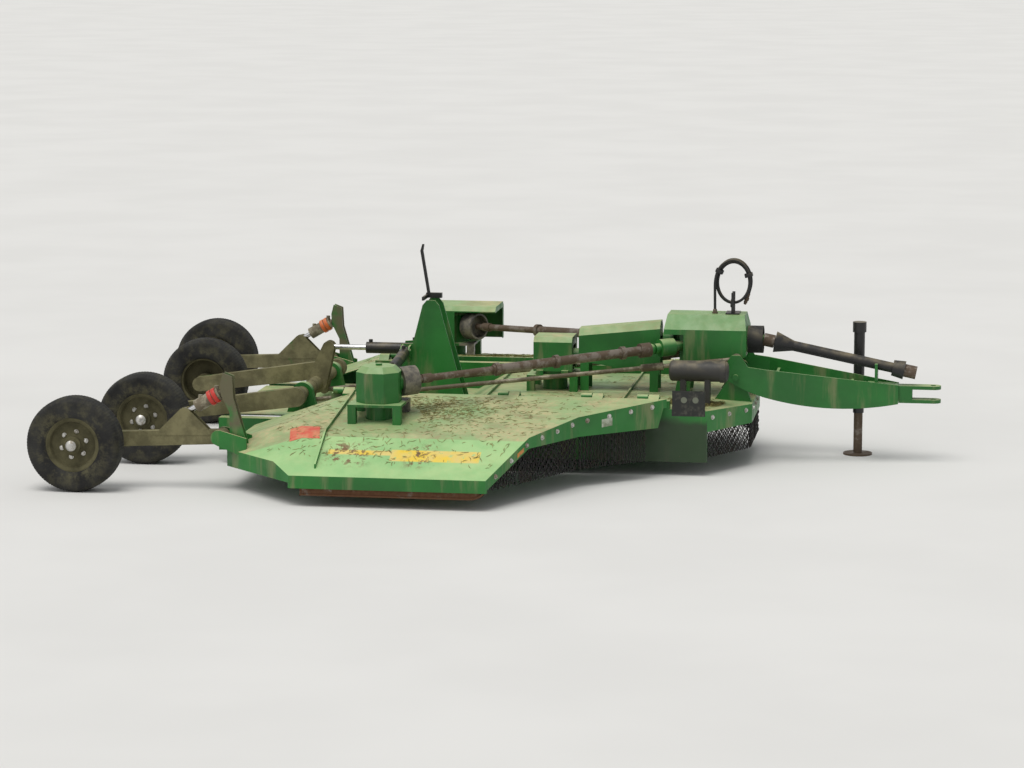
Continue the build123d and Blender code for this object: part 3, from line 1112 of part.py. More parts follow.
# Cylinders: the barrel turns on its anchor pin, the rod's eye sits about the other pin
def cylinder(anchor, eye, normal, barrel_radius, barrel_length, rod_radius, eye_radius, eye_width, loose):
    """Barrel and rod between two points, with eyes about pins along normal."""
    way = tuple(b - a for a, b in zip(anchor, eye))
    reach = Vector(*way).length
    side_way = Vector(*normal).normalized()

    def pin_hole(place, radius, width):
        centre = Vector(*place)
        low = centre - side_way * (width / 2)
        high = centre + side_way * (width / 2)
        return bar((low.X, low.Y, low.Z), (high.X, high.Y, high.Z), radius)

    neck = eye_radius + EYE_NECK
    barrel = bar(along(anchor, way, neck), along(anchor, way, eye_radius + barrel_length), barrel_radius)
    barrel += bar(along(anchor, way, eye_radius - 6), along(anchor, way, neck + 1), eye_width / 2 - 1)
    barrel += pin_hole(anchor, eye_radius, eye_width)
    for at in (neck + 20, eye_radius + barrel_length - 26):
        port = along(anchor, way, at)
        barrel += bar(port, (port[0], port[1], port[2] + barrel_radius + PORT_HEIGHT), PORT_RADIUS)
    bore_from = along(anchor, way, neck + 10)
    barrel -= bar(bore_from, along(anchor, way, reach), rod_radius + CYLINDER_FIT)
    barrel -= pin_hole(anchor, PIN_RADIUS + RUNNING_FIT, 2 * eye_width)
    stem = bar(along(anchor, way, eye_radius + barrel_length - 40), along(anchor, way, reach - 8), rod_radius)
    stem += pin_hole(eye, eye_radius, eye_width)
    stem -= pin_hole(eye, PIN_RADIUS + loose, 2 * eye_width)
    return barrel, stem


barrel, stem = cylinder(
    (LIFT_ANCHOR[0], 0, LIFT_ANCHOR[1]), (LEVER_PIN[0], 0, LEVER_PIN[1]), (0, 1, 0),
    LIFT_BARREL_RADIUS, LIFT_BARREL_LENGTH, LIFT_ROD_RADIUS, EYE_RADIUS, EYE_WIDTH, EYE_DRIFT)
inside = (LIFT_ANCHOR[0] - EYE_RADIUS - 140, 0, LIFT_ANCHOR[1])
stem += bar(inside, (LIFT_ANCHOR[0] - EYE_RADIUS - LIFT_BARREL_LENGTH + 30, 0, LIFT_ANCHOR[1]),
            LIFT_ROD_RADIUS)
nodes["lift_barrel"] = barrel
nodes["lift_rod"] = stem

for side in ("left", "right"):
    anchor = (WING_LIFT_ANCHOR[0], WING_LIFT_Y, WING_LIFT_ANCHOR[1])
    eye = (WING_LIFT_EYE[0], WING_LIFT_Y, WING_LIFT_EYE[1])
    barrel, stem = cylinder(anchor, eye, (0, 1, 0), WING_LIFT_BARREL_RADIUS, WING_LIFT_BARREL_LENGTH,
                            WING_LIFT_ROD_RADIUS, EYE_RADIUS - 2, WING_EYE_WIDTH, EYE_DRIFT)
    way = tuple(b - a for a, b in zip(anchor, eye))
    stem += bar(along(anchor, way, EYE_RADIUS + 30), along(anchor, way, WING_LIFT_BARREL_LENGTH),
                WING_LIFT_ROD_RADIUS)
    nodes["wing_lift_barrel_" + side] = sided(barrel, side)
    nodes["wing_lift_rod_" + side] = sided(stem, side)
    anchor = (FOLD_STATION, FOLD_ANCHOR[0], FOLD_ANCHOR[1])
    eye = (FOLD_STATION, FOLD_EYE[0], FOLD_EYE[1])
    barrel, stem = cylinder(anchor, eye, (1, 0, 0), FOLD_BARREL_RADIUS, FOLD_BARREL_LENGTH,
                            FOLD_ROD_RADIUS, FOLD_EYE_RADIUS, FOLD_EYE_WIDTH, RUNNING_FIT)
    way = tuple(b - a for a, b in zip(anchor, eye))
    stem += bar(along(anchor, way, FOLD_EYE_RADIUS + 300), along(anchor, way, FOLD_BARREL_LENGTH),
                FOLD_ROD_RADIUS)
    nodes["fold_barrel_" + side] = sided(barrel, side)
    nodes["fold_rod_" + side] = sided(stem, side)


# Wing wheel arms
arm = link_plate((WING_PIVOT, (WING_WHEEL_STATION, HUB_Z)), (WING_BOSS_RADIUS, ARM_HUB_RADIUS - 6),
                 WING_ARM_Y)
arm += cross_bar(WING_PIVOT, WING_BOSS_Y, WING_BOSS_RADIUS)
for low in (WING_LIFT_Y - plate_out, WING_LIFT_Y + plate_in):
    arm += slab_xz((
        (WING_PIVOT[0] - 34, WING_PIVOT[1] + 10), (WING_LIFT_EYE[0] + 34, WING_LIFT_EYE[1] + 6),
        (WING_LIFT_EYE[0] + 10, WING_LIFT_EYE[1] + 30), (WING_LIFT_EYE[0] - 26, WING_LIFT_EYE[1] + 22),
        (WING_LIFT_EYE[0] - 180, WING_PIVOT[1]),
    ), (low, low + WING_GUSSET))
arm += cross_bar(WING_LIFT_EYE, (WING_LIFT_Y - plate_out, WING_LIFT_Y + plate_out), PIN_RADIUS)
arm += cross_bar((WING_WHEEL_STATION, HUB_Z), (WING_ARM_Y[1] - 10, WING_WHEEL_Y + RIM_WIDTH / 2 - 12),
                 SPINDLE_RADIUS)
arm += cross_bar((WING_WHEEL_STATION, HUB_Z), (WING_ARM_Y[1], WING_WHEEL_Y - RIM_WIDTH / 2 - SEAT_GAP),
                 SPINDLE_RADIUS + SPINDLE_COLLAR)
arm -= cross_bar(WING_PIVOT, (WING_BOSS_Y[0] - 1, WING_BOSS_Y[1] + 1), WING_PIVOT_PIN_RADIUS + RUNNING_FIT)
for side in ("left", "right"):
    nodes["wing_wheel_arm_" + side] = sided(arm, side)


# Tongue: two side plates that draw together towards the hitch
tongue_side = make_face(
    Polyline(
        (TONGUE_STATIONS[0], 0, TONGUE_PIVOT[1] - 20),
        (TONGUE_STATIONS[0], 0, TONGUE_PIVOT[1] + TONGUE_LUG_RISE),
        (TONGUE_PIVOT[0] - 25, 0, TONGUE_PIVOT[1] + TONGUE_LUG_RISE + 28),
        (TONGUE_PIVOT[0] + 25, 0, TONGUE_PIVOT[1] + TONGUE_LUG_RISE + 28),
        (TONGUE_PIVOT[0] + 70, 0, TONGUE_PIVOT[1] + 62),
        (TONGUE_STATIONS[1], 0, TONGUE_NOSE_Z[1]), (TONGUE_STATIONS[1], 0, TONGUE_NOSE_Z[0]),
    )
    + ThreePointArc(
        (TONGUE_STATIONS[1], 0, TONGUE_NOSE_Z[0]), (3880, 0, 332), (TONGUE_PIVOT[0] + 70, 0, 430))
    + Polyline((TONGUE_PIVOT[0] + 70, 0, 430), (TONGUE_PIVOT[0], 0, TONGUE_PIVOT[1] - TONGUE_EYE_RADIUS),
               (TONGUE_STATIONS[0], 0, TONGUE_PIVOT[1] - 20))
)


def tongue_plan(inset, ends):
    rear = TONGUE_REAR_Y - inset
    front = TONGUE_FRONT_Y - inset
    return slab_xy((
        (TONGUE_STATIONS[0] - ends, -rear), (3560, -rear), (TONGUE_STATIONS[1] + ends, -front),
        (TONGUE_STATIONS[1] + ends, front), (3560, rear), (TONGUE_STATIONS[0] - ends, rear),
    ), (200, 900))


profile = extrude(tongue_side, amount=600, dir=(0, 1, 0))
profile = Pos(0, -300, 0) * profile
tongue = (profile & tongue_plan(0, 0)) - tongue_plan(TONGUE_PLATE, 20)
tongue += block((3610, 3626), (-TONGUE_REAR_Y + 8, TONGUE_REAR_Y - 8), (400, 500)) & tongue_plan(2, 0)
tongue += block((4050, 4066), (-200, 200), (360, 460)) & tongue_plan(2, 0)
tongue += block((4150, TONGUE_STATIONS[1]), (-200, 200),
                (TONGUE_NOSE_Z[0] + 20, TONGUE_NOSE_Z[1] - 2)) & tongue_plan(2, 0)
tongue -= cross_bar(TONGUE_PIVOT, (-300, 300), TONGUE_PIVOT_RADIUS + RUNNING_FIT)
for sign in (1, -1):
    pin_y = sorted((sign * (ROD_Y - ROD_EYE_WIDTH / 2), sign * (TONGUE_REAR_Y - 2)))
    tongue += cross_bar(rod_front, pin_y, ROD_PIN_RADIUS)
rest_share = (PTO_END[0] - PTO_REST_STATION) / (PTO_END[0] - PTO_PIVOT[0])
rest_z = PTO_END[1] + rest_share * (PTO_PIVOT[1] - PTO_END[1])
rest = block((PTO_REST_STATION - 8, PTO_REST_STATION + 8), (-60, 60), (440, rest_z + 8))
rest -= bar((PTO_PIVOT[0], 0, PTO_PIVOT[1]), (PTO_END[0], 0, PTO_END[1]), PTO_TUBE_RADIUS + PTO_REST_GAP)
tongue += rest
# bracket that carries the jack on the left side plate
tongue += block((JACK_STATION - 20, JACK_STATION + 20),
                (TONGUE_FRONT_Y, JACK_Y - JACK_TUBE_RADIUS - SEAT_GAP),
                (TONGUE_NOSE_Z[0] + 30, TONGUE_NOSE_Z[1] - 25))
nodes["tongue_beam"] = tongue

ears = None
for low in (HITCH_Z - CLEVIS_GAP / 2 - CLEVIS_EAR, HITCH_Z + CLEVIS_GAP / 2):
    ear = block((TONGUE_STATIONS[1] + SEAT_GAP, HITCH_PIN_STATION), (-CLEVIS_HALF_WIDTH, CLEVIS_HALF_WIDTH),
                (low, low + CLEVIS_EAR))
    ear += bar((HITCH_PIN_STATION, 0, low), (HITCH_PIN_STATION, 0, low + CLEVIS_EAR), CLEVIS_HALF_WIDTH)
    ears = ear if ears is None else ears + ear
ears += block((TONGUE_STATIONS[1] + SEAT_GAP, TONGUE_STATIONS[1] + 80),
              (-CLEVIS_HALF_WIDTH, CLEVIS_HALF_WIDTH),
              (HITCH_Z - CLEVIS_GAP / 2 - 1, HITCH_Z + CLEVIS_GAP / 2 + 1))
ears -= bar((HITCH_PIN_STATION, 0, 300), (HITCH_PIN_STATION, 0, 500), HITCH_BORE_RADIUS)
nodes["hitch_clevis"] = ears

# parking jack: tube with crank on the tongue, leg with its foot on the floor
jack = bar((JACK_STATION, JACK_Y, JACK_TUBE_Z[0]), (JACK_STATION, JACK_Y, JACK_TUBE_Z[1]), JACK_TUBE_RADIUS)
jack += bar((JACK_STATION, JACK_Y, JACK_TUBE_Z[1] - 30), (JACK_STATION, JACK_Y, JACK_TUBE_Z[1] + 30), 40)
crank_y = JACK_Y + JACK_CRANK[0]
jack += bar((JACK_STATION, JACK_Y, JACK_TUBE_Z[1]), (JACK_STATION, crank_y + 8, JACK_TUBE_Z[1]), 9)
jack += bar((JACK_STATION, crank_y, JACK_TUBE_Z[1]),
            (JACK_STATION, crank_y, JACK_TUBE_Z[1] - JACK_CRANK[1]), 11)
jack -= bar((JACK_STATION, JACK_Y, JACK_TUBE_Z[0] - 5), (JACK_STATION, JACK_Y, JACK_TUBE_Z[1] - 40),
            JACK_LEG_RADIUS + CYLINDER_FIT)
nodes["jack_tube"] = jack
leg = bar((JACK_STATION, JACK_Y, 2), (JACK_STATION, JACK_Y, 440), JACK_LEG_RADIUS)
leg += bar((JACK_STATION, JACK_Y, 0), (JACK_STATION, JACK_Y, JACK_FOOT), JACK_FOOT_RADIUS)
nodes["jack_leg"] = leg

# tractor drive shaft with its guard
pto_from = (PTO_PIVOT[0], 0, PTO_PIVOT[1])
pto_to = (PTO_END[0], 0, PTO_END[1])
pto_way = tuple(b - a for a, b in zip(pto_from, pto_to))
pto_length = Vector(*pto_way).length
pto = bar(along(pto_from, pto_way, 30), along(pto_from, pto_way, pto_length - PTO_YOKE_LENGTH),
          PTO_SHAFT_RADIUS)
pto += bar(along(pto_from, pto_way, -PTO_SOCKET_WRAP), along(pto_from, pto_way, 60), PTO_YOKE_RADIUS)
pto -= Pos(*pto_from) * Sphere(PTO_BALL_RADIUS + SEAT_GAP)
pto += bar(along(pto_from, pto_way, pto_length - PTO_YOKE_LENGTH - 20), pto_to, PTO_YOKE_RADIUS)
pto -= bar(along(pto_from, pto_way, pto_length - PTO_BORE_LENGTH), along(pto_from, pto_way, pto_length + 5),
           PTO_BORE_RADIUS)
nodes["pto_shaft"] = pto
front_cone = pto_length - PTO_FRONT_CONE_BACK
guard = bar(along(pto_from, pto_way, PTO_CONE_START + 30), along(pto_from, pto_way, front_cone + 20),
            PTO_TUBE_RADIUS)
for cone_start, cone_length, cone_radii in (
    (PTO_CONE_START, PTO_CONE_LENGTH, (PTO_CONE_RADIUS, PTO_TUBE_RADIUS)),
    (front_cone, PTO_FRONT_CONE_LENGTH, PTO_FRONT_CONE_RADII),
):
    guard += cone(along(pto_from, pto_way, cone_start), along(pto_from, pto_way, cone_start + cone_length),
                  *cone_radii)
guard -= bar(pto_from, pto_to, PTO_SHAFT_RADIUS + SEAT_GAP)
guard -= bar(pto_from, along(pto_from, pto_way, PTO_CONE_START + 46), PTO_YOKE_RADIUS + 6)
guard -= bar(along(pto_from, pto_way, pto_length - PTO_YOKE_LENGTH - 22), pto_to, PTO_YOKE_RADIUS + SEAT_GAP)
nodes["pto_guard"] = guard


# Document tube on two straps, on the right of the nose
manual = bar((MANUAL_TUBE_STATIONS[0], -MANUAL_TUBE_Y, MANUAL_TUBE_Z),
             (MANUAL_TUBE_STATIONS[1], -MANUAL_TUBE_Y, MANUAL_TUBE_Z), MANUAL_TUBE_RADIUS)
manual += bar((MANUAL_TUBE_STATIONS[1] - 34, -MANUAL_TUBE_Y, MANUAL_TUBE_Z),
              (MANUAL_TUBE_STATIONS[1] - 2, -MANUAL_TUBE_Y, MANUAL_TUBE_Z), MANUAL_TUBE_RADIUS + 5)
for station in (MANUAL_TUBE_STATIONS[0] + 50, MANUAL_TUBE_STATIONS[1] - 120):
    strap = block((station, station + 30), (-MANUAL_TUBE_Y - 40, -MANUAL_TUBE_Y + 40),
                  (front_wall_z, MANUAL_TUBE_Z - 30))
    manual += strap - centre_form(-SEAT_GAP)
nodes["manual_tube"] = manual

# Hose hanger on the front shield, with the hose coil standing in it
post_y = COIL_BUNDLE + HANGER_POST_RADIUS + SEAT_GAP
hanger = block((COIL_CENTRE[0] - 40, COIL_CENTRE[0] + 40), (-60, 60),
               (SHIELD_TOP_Z + SEAT_GAP, SHIELD_TOP_Z + 8))
for sign in (1, -1):
    hanger += bar((COIL_CENTRE[0], sign * post_y, SHIELD_TOP_Z + 4),
                  (COIL_CENTRE[0], sign * post_y, COIL_CENTRE[2] - 60), HANGER_POST_RADIUS)
nodes["hose_hanger"] = hanger
bundle = COIL_BUNDLE
coil_hole = Ellipse(COIL_WIDTH / 2 - 2 * bundle, COIL_HEIGHT / 2 - 2 * bundle)
ring = Pos(*COIL_CENTRE) * (Rot(90, 0, 0) * (
    extrude(Ellipse(COIL_WIDTH / 2, COIL_HEIGHT / 2), amount=bundle, both=True)
    - extrude(coil_hole, amount=bundle + 1, both=True)))
nodes["hose_coil"] = ring

os.makedirs("parts", exist_ok=True)
for name, shape in nodes.items():
    export_step(Pos(-ORIGIN_STATION, 0, 0) * shape, "parts/" + name + ".step")
print(len(nodes), "nodes, origin at station", ORIGIN_STATION)
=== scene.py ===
import json
import math

import bmesh
import bpy
import numpy as np
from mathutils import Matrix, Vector


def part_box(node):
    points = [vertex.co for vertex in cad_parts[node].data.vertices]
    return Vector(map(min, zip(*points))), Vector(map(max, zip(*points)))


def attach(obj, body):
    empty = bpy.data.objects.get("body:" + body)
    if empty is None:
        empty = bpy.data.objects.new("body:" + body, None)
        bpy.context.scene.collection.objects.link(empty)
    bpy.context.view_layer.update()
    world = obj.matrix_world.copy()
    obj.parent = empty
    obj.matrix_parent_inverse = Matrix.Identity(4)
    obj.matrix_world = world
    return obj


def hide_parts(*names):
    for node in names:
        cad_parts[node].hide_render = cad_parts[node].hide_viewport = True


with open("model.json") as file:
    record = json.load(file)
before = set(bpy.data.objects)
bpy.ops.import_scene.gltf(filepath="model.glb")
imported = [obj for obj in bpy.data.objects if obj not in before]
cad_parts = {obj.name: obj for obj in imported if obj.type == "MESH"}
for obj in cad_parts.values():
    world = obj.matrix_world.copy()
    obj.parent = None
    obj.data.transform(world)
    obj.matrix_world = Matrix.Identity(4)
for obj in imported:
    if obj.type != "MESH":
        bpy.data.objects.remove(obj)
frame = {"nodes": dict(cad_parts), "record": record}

# Dresses a towed rotary cutter with two folding wings. Metres; +X forward, +Y to the machine's left, +Z up.
bl_info = {
    "name": "Batwing Mower",
    "version": (1, 0, 0),
    "blender": (4, 5, 0),
    "location": "View3D > Sidebar > Mower",
    "description": "Paint, dust, tyres, chain curtains, bolts, hose coil and stage of a folding-wing mower",
    "category": "Object",
}

TAU = 2 * math.pi

# Edges in plan that carry the chain curtains and the rows of bolts, as (x, y) on the left side
WING_FRONT = ((0.970, 0.735), (0.520, 1.135), (0.120, 1.900))
NOSE = ((1.190, -0.680), (1.420, -0.300), (1.420, 0.300), (1.190, 0.680))
NOSE_TOP_Z = 0.365
CURTAIN_INSET = 0.0123
CHAIN_BELOW_ROOF = 0.022
ROD_BELOW_TOP = 0.006
BOLT_BELOW_ROOF = 0.030
SIDES = (("left", 1), ("right", -1))

# Planes of a wing's roof, on the left side: each starts at a line and falls so much over such a width
HINGE_Y, CREST_Z, INNER_FALL, INNER_WIDTH = 0.735, 0.450, 100, 815
KNEE_Y, KNEE_Z, OUTER_FALL, OUTER_WIDTH = 1.550, 0.350, 180, 350
CREASE_X, REAR_SLOPE = -0.830, 0.345
CORNER_Z, CORNER_REACH, CORNER_SLOPE = 0.225, 2.860, 0.45

# Planes of the centre deck's roof, from the rear
TAIL_Z, RISE_X, RISE, RISE_LENGTH = 0.270, -0.330, 0.115, 0.200
DECK_Z, NOSE_X, NOSE_FALL, NOSE_LENGTH = 0.385, 1.040, 0.020, 0.380

# Middle of the left wing's gearbox shaft, its way to the splitter, and the pins of the left lift cylinder
WING_GEARBOX = (-0.590, 1.230, 0.575)
SHAFT_WAY = (1.410, -0.990, 0.085)
WING_LIFT_EYE = (-1.635, 1.475, 0.430)
WING_LIFT_ANCHOR = (-1.408, 1.475, 0.562)
LUG_CIRCLE = 0.072

# Markings in the paint: boxes are rows of low x, high x, low z and high z
PANEL_FROM_Y, NOSE_WALL_Y = 1.580, 0.672
STRIPE = ((-0.780, -0.420, 0.262, 0.281), (-0.432, 0.060, 0.240, 0.286))
SCUFFS = ((-0.780, -0.560, 0.220, 0.310), (-0.340, -0.200, 0.220, 0.310))
# Plate marking on the nose walls, coloured near-black as painted shade.
PLATE_X, PLATE_FOOT_Z = (0.993, 1.184), 0.343
PLATE_HOLES, HOLE_RADIUS_SQUARED = ((1.062, 0.438), (1.128, 0.438)), 0.00030


def wing_roof(x, y):
    """Height of a wing's top: the lowest of its inner roof, outer panel, rear panel and cut-off corner."""
    x, y = np.asarray(x, float), np.abs(np.asarray(y, float))
    inner = CREST_Z - (y - HINGE_Y) * INNER_FALL / INNER_WIDTH
    outer = KNEE_Z - (y - KNEE_Y) * OUTER_FALL / OUTER_WIDTH
    rear = CREST_Z + (x - CREASE_X) * REAR_SLOPE
    corner = CORNER_Z + CORNER_SLOPE * (x + CORNER_REACH - y) / math.sqrt(2)
    return np.minimum(np.minimum(inner, outer), np.minimum(rear, corner))


def deck_roof(x, y):
    """Height of the centre deck's top: a low tail, a rise, the main deck and a slight fall to the nose."""
    x = np.asarray(x, float) + 0 * np.asarray(y, float)
    rise = TAIL_Z + (x - RISE_X) * RISE / RISE_LENGTH
    nose = DECK_Z - (x - NOSE_X) * NOSE_FALL / NOSE_LENGTH
    return np.clip(np.minimum(rise, nose), TAIL_Z, DECK_Z)


# Properties that a user would change
def colour_property(name, description, default):
    return bpy.props.FloatVectorProperty(
        name=name, description=description, subtype="COLOR", size=3, min=0, max=1, default=default)


def length_property(name, description, low, high, default):
    return bpy.props.FloatProperty(
        name=name, description=description, unit="LENGTH", min=low, max=high, default=default)


class MowerColours(bpy.types.PropertyGroup):
    """Finishes of the machine."""

    green: colour_property(
        "Green paint", "Paint of the decks, tongue and shields", (0.013, 0.120, 0.018))
    # Faded green is partly sun-bleached paint and partly painted light on upward faces.
    faded: colour_property(
        "Faded green", "Paint bleached by the sun, on what faces up", (0.290, 0.480, 0.205))
    dust: colour_property(
        "Dust", "Dry dust and grass meal on flat tops", (0.570, 0.465, 0.260))
    mud: colour_property(
        "Mud", "Dried mud on wheels and arms", (0.120, 0.110, 0.058))
    stripe: colour_property(
        "Stripe", "Yellow stripe on the outer panels", (0.790, 0.570, 0.060))
    reflector: colour_property(
        "Reflector", "Faded orange-red patches at the rear corners", (0.640, 0.085, 0.050))
    straw: colour_property(
        "Clippings", "Cut grass that has dried on the decks", (0.330, 0.290, 0.110))


class MowerSizes(bpy.types.PropertyGroup):
    """Sizes of the small pieces."""

    bolt_radius: length_property(
        "Bolt radius", "From the middle of a bolt head to a corner", 0.003, 0.03, 0.0095)
    bolt_spacing: length_property(
        "Bolt spacing", "Between bolts along a front band", 0.05, 0.5, 0.128)
    link_length: length_property(
        "Link length", "Outer length of a chain link", 0.01, 0.08, 0.030)
    link_wire: length_property(
        "Link wire", "Radius of the wire of a chain link", 0.001, 0.01, 0.0033)
    strand_spacing: length_property(
        "Strand spacing", "Between the strands of a curtain", 0.01, 0.1, 0.024)
    tread_ribs: bpy.props.IntProperty(
        name="Tread ribs", description="Strips of rubber round a laminated tyre",
        min=12, max=240, default=96)
    hose_diameter: length_property(
        "Hose diameter", "Outer diameter of the coiled hose", 0.006, 0.04, 0.016)
    hose_turns: bpy.props.FloatProperty(
        name="Hose turns", description="Turns of the coiled hose",
        min=1, max=5, default=2.6)
    blade_length: length_property(
        "Clipping length", "Longest piece of cut grass", 0.005, 0.1, 0.055)
    blade_count: bpy.props.IntProperty(
        name="Clippings on a wing", description="Pieces of cut grass that lie on each wing",
        min=0, max=4000, default=1500)


# Meshes from arrays
def linked(name, data):
    """A new object in the scene."""
    thing = bpy.data.objects.new(name, data)
    bpy.context.scene.collection.objects.link(thing)
    return thing


def joined_mesh(name, points, faces, smooth=True):
    """An object of points (n, 3) and faces (m, k), with doubled points merged, so seams and poles close."""
    mesh = bpy.data.meshes.new(name)
    mesh.from_pydata(points.reshape(-1, 3).tolist(), [], faces.tolist())
    form = bmesh.new()
    form.from_mesh(mesh)
    bmesh.ops.remove_doubles(form, verts=form.verts, dist=1e-6)
    bmesh.ops.recalc_face_normals(form, faces=form.faces)
    form.to_mesh(mesh)
    form.free()
    mesh.polygons.foreach_set("use_smooth", np.full(len(mesh.polygons), smooth))
    if smooth:
        mesh.set_sharp_from_angle(angle=math.radians(38))
    mesh.update()
    return linked(name, mesh)


def grid_faces(rows, columns, wrap_rows=False, wrap_columns=False):
    """Four-cornered faces between the neighbours of a grid of points."""
    row = np.arange(rows if wrap_rows else rows - 1)
    column = np.arange(columns if wrap_columns else columns - 1)
    a, b = np.meshgrid(row, column, indexing="ij")
    c, d = (a + 1) % rows, (b + 1) % columns
    corners = (a * columns + b, c * columns + b, c * columns + d, a * columns + d)
    return np.stack(corners, axis=-1).reshape(-1, 4)


def copies_mesh(name, shapes, faces, smooth=True):
    """One object of many like shapes: shapes is (k, n, 3), and each copy has the same faces."""
    count, size = shapes.shape[:2]
    offsets = np.arange(count)[:, None, None] * size
    all_faces = (faces[None] + offsets).reshape(-1, faces.shape[1])
    return joined_mesh(name, shapes.reshape(-1, 3), all_faces, smooth)


def fit(piece, material, body):
    """Give a piece its finish, and let it ride on a body."""
    piece.data.materials.append(material)
    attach(piece, body)


def unit(vectors):
    """Vectors at length one."""
    return vectors / np.linalg.norm(vectors, axis=-1, keepdims=True)


def swept_tube(name, path, radius, sides=12):
    """A tube: path(s) + radius * (cos t * side + sin t * lift), drawn in to a point at each end.

    Side is the path's way x up, and lift is side x way."""
    way = unit(np.gradient(path, axis=0))
    side = unit(np.cross(way, (0.0, 0.0, 1.0)))
    lift = np.cross(side, way)
    t = np.linspace(0, TAU, sides, endpoint=False)
    ring = np.cos(t)[None, :, None] * side[:, None] + np.sin(t)[None, :, None] * lift[:, None]
    body = path[:, None] + radius * ring
    start = np.repeat(path[:1, None], sides, axis=1)
    end = np.repeat(path[-1:, None], sides, axis=1)
    points = np.concatenate([start, body, end])
    return joined_mesh(name, points, grid_faces(len(points), sides, wrap_columns=True))


def turned(name, start, way, profile, sides=24):
    """A turned piece: start + a_i * way + r_i * (cos t * side + sin t * lift), for rows (a_i, r_i)."""
    way = unit(np.asarray(way, float))
    other = np.array((1.0, 0.0, 0.0) if abs(way[2]) > 0.9 else (0.0, 0.0, 1.0))
    side = unit(np.cross(way, other))
    lift = np.cross(side, way)
    t = np.linspace(0, TAU, sides, endpoint=False)
    ring = np.cos(t)[:, None] * side + np.sin(t)[:, None] * lift
    rows = np.asarray(profile, float)
    points = np.asarray(start, float) + rows[:, 0, None, None] * way + rows[:, 1, None, None] * ring
    return joined_mesh(name, points, grid_faces(len(rows), sides, wrap_columns=True))


def points_between(start, end, spacing, short=(0.0, 0.0)):
    """Evenly spaced (x, y) points on a line, short of its two ends, and the line's outward direction."""
    start, end = np.array(start), np.array(end)
    length = np.linalg.norm(end - start)
    way = (end - start) / length
    run = length - short[0] - short[1]
    count = max(2, int(run // spacing) + 1)
    at = short[0] + np.linspace(0, run, count)
    return start + at[:, None] * way, np.array((way[1], -way[0]))


def bolt_heads(name, places, ways, radius):
    """Hexagon heads on round washers.

    Head k is place + h_i * n + r_i * q(a) * (cos a * t + sin a * b), for the rows (h_i, r_i) of a profile,
    where n is its way, t and b lie across it, and q(a) is 1 at a corner and cos 30 between two corners."""
    profile = np.array(((0.0, 0.0, 0), (0.0, 1.5, 0), (0.22, 1.45, 0), (0.22, 1.0, 1), (0.95, 1.0, 1),
                        (1.1, 0.82, 1), (1.1, 0.0, 1)))
    angle = np.arange(12) * TAU / 12
    hexagon = np.where(np.arange(12) % 2 == 0, 1.0, math.cos(math.pi / 6))
    n = unit(np.asarray(ways, float))
    other = np.where(np.abs(n[:, 2:]) > 0.9, (1.0, 0.0, 0.0), (0.0, 0.0, 1.0))
    t = unit(np.cross(n, other))
    b = np.cross(n, t)
    spin = (np.arange(len(n)) * 2.4)[:, None]
    across = np.cos(angle + spin)[..., None] * t[:, None] + np.sin(angle + spin)[..., None] * b[:, None]
    reach = profile[:, 1, None] * np.where(profile[:, 2, None] > 0, hexagon, 1.0)
    shape = np.asarray(places, float)[:, None, None] + radius * (
        profile[None, :, None, :1] * n[:, None, None] + reach[None, :, :, None] * across[:, None])
    shape = shape.reshape(len(n), -1, 3)
    return copies_mesh(name, shape, grid_faces(len(profile), 12, wrap_columns=True), smooth=False)


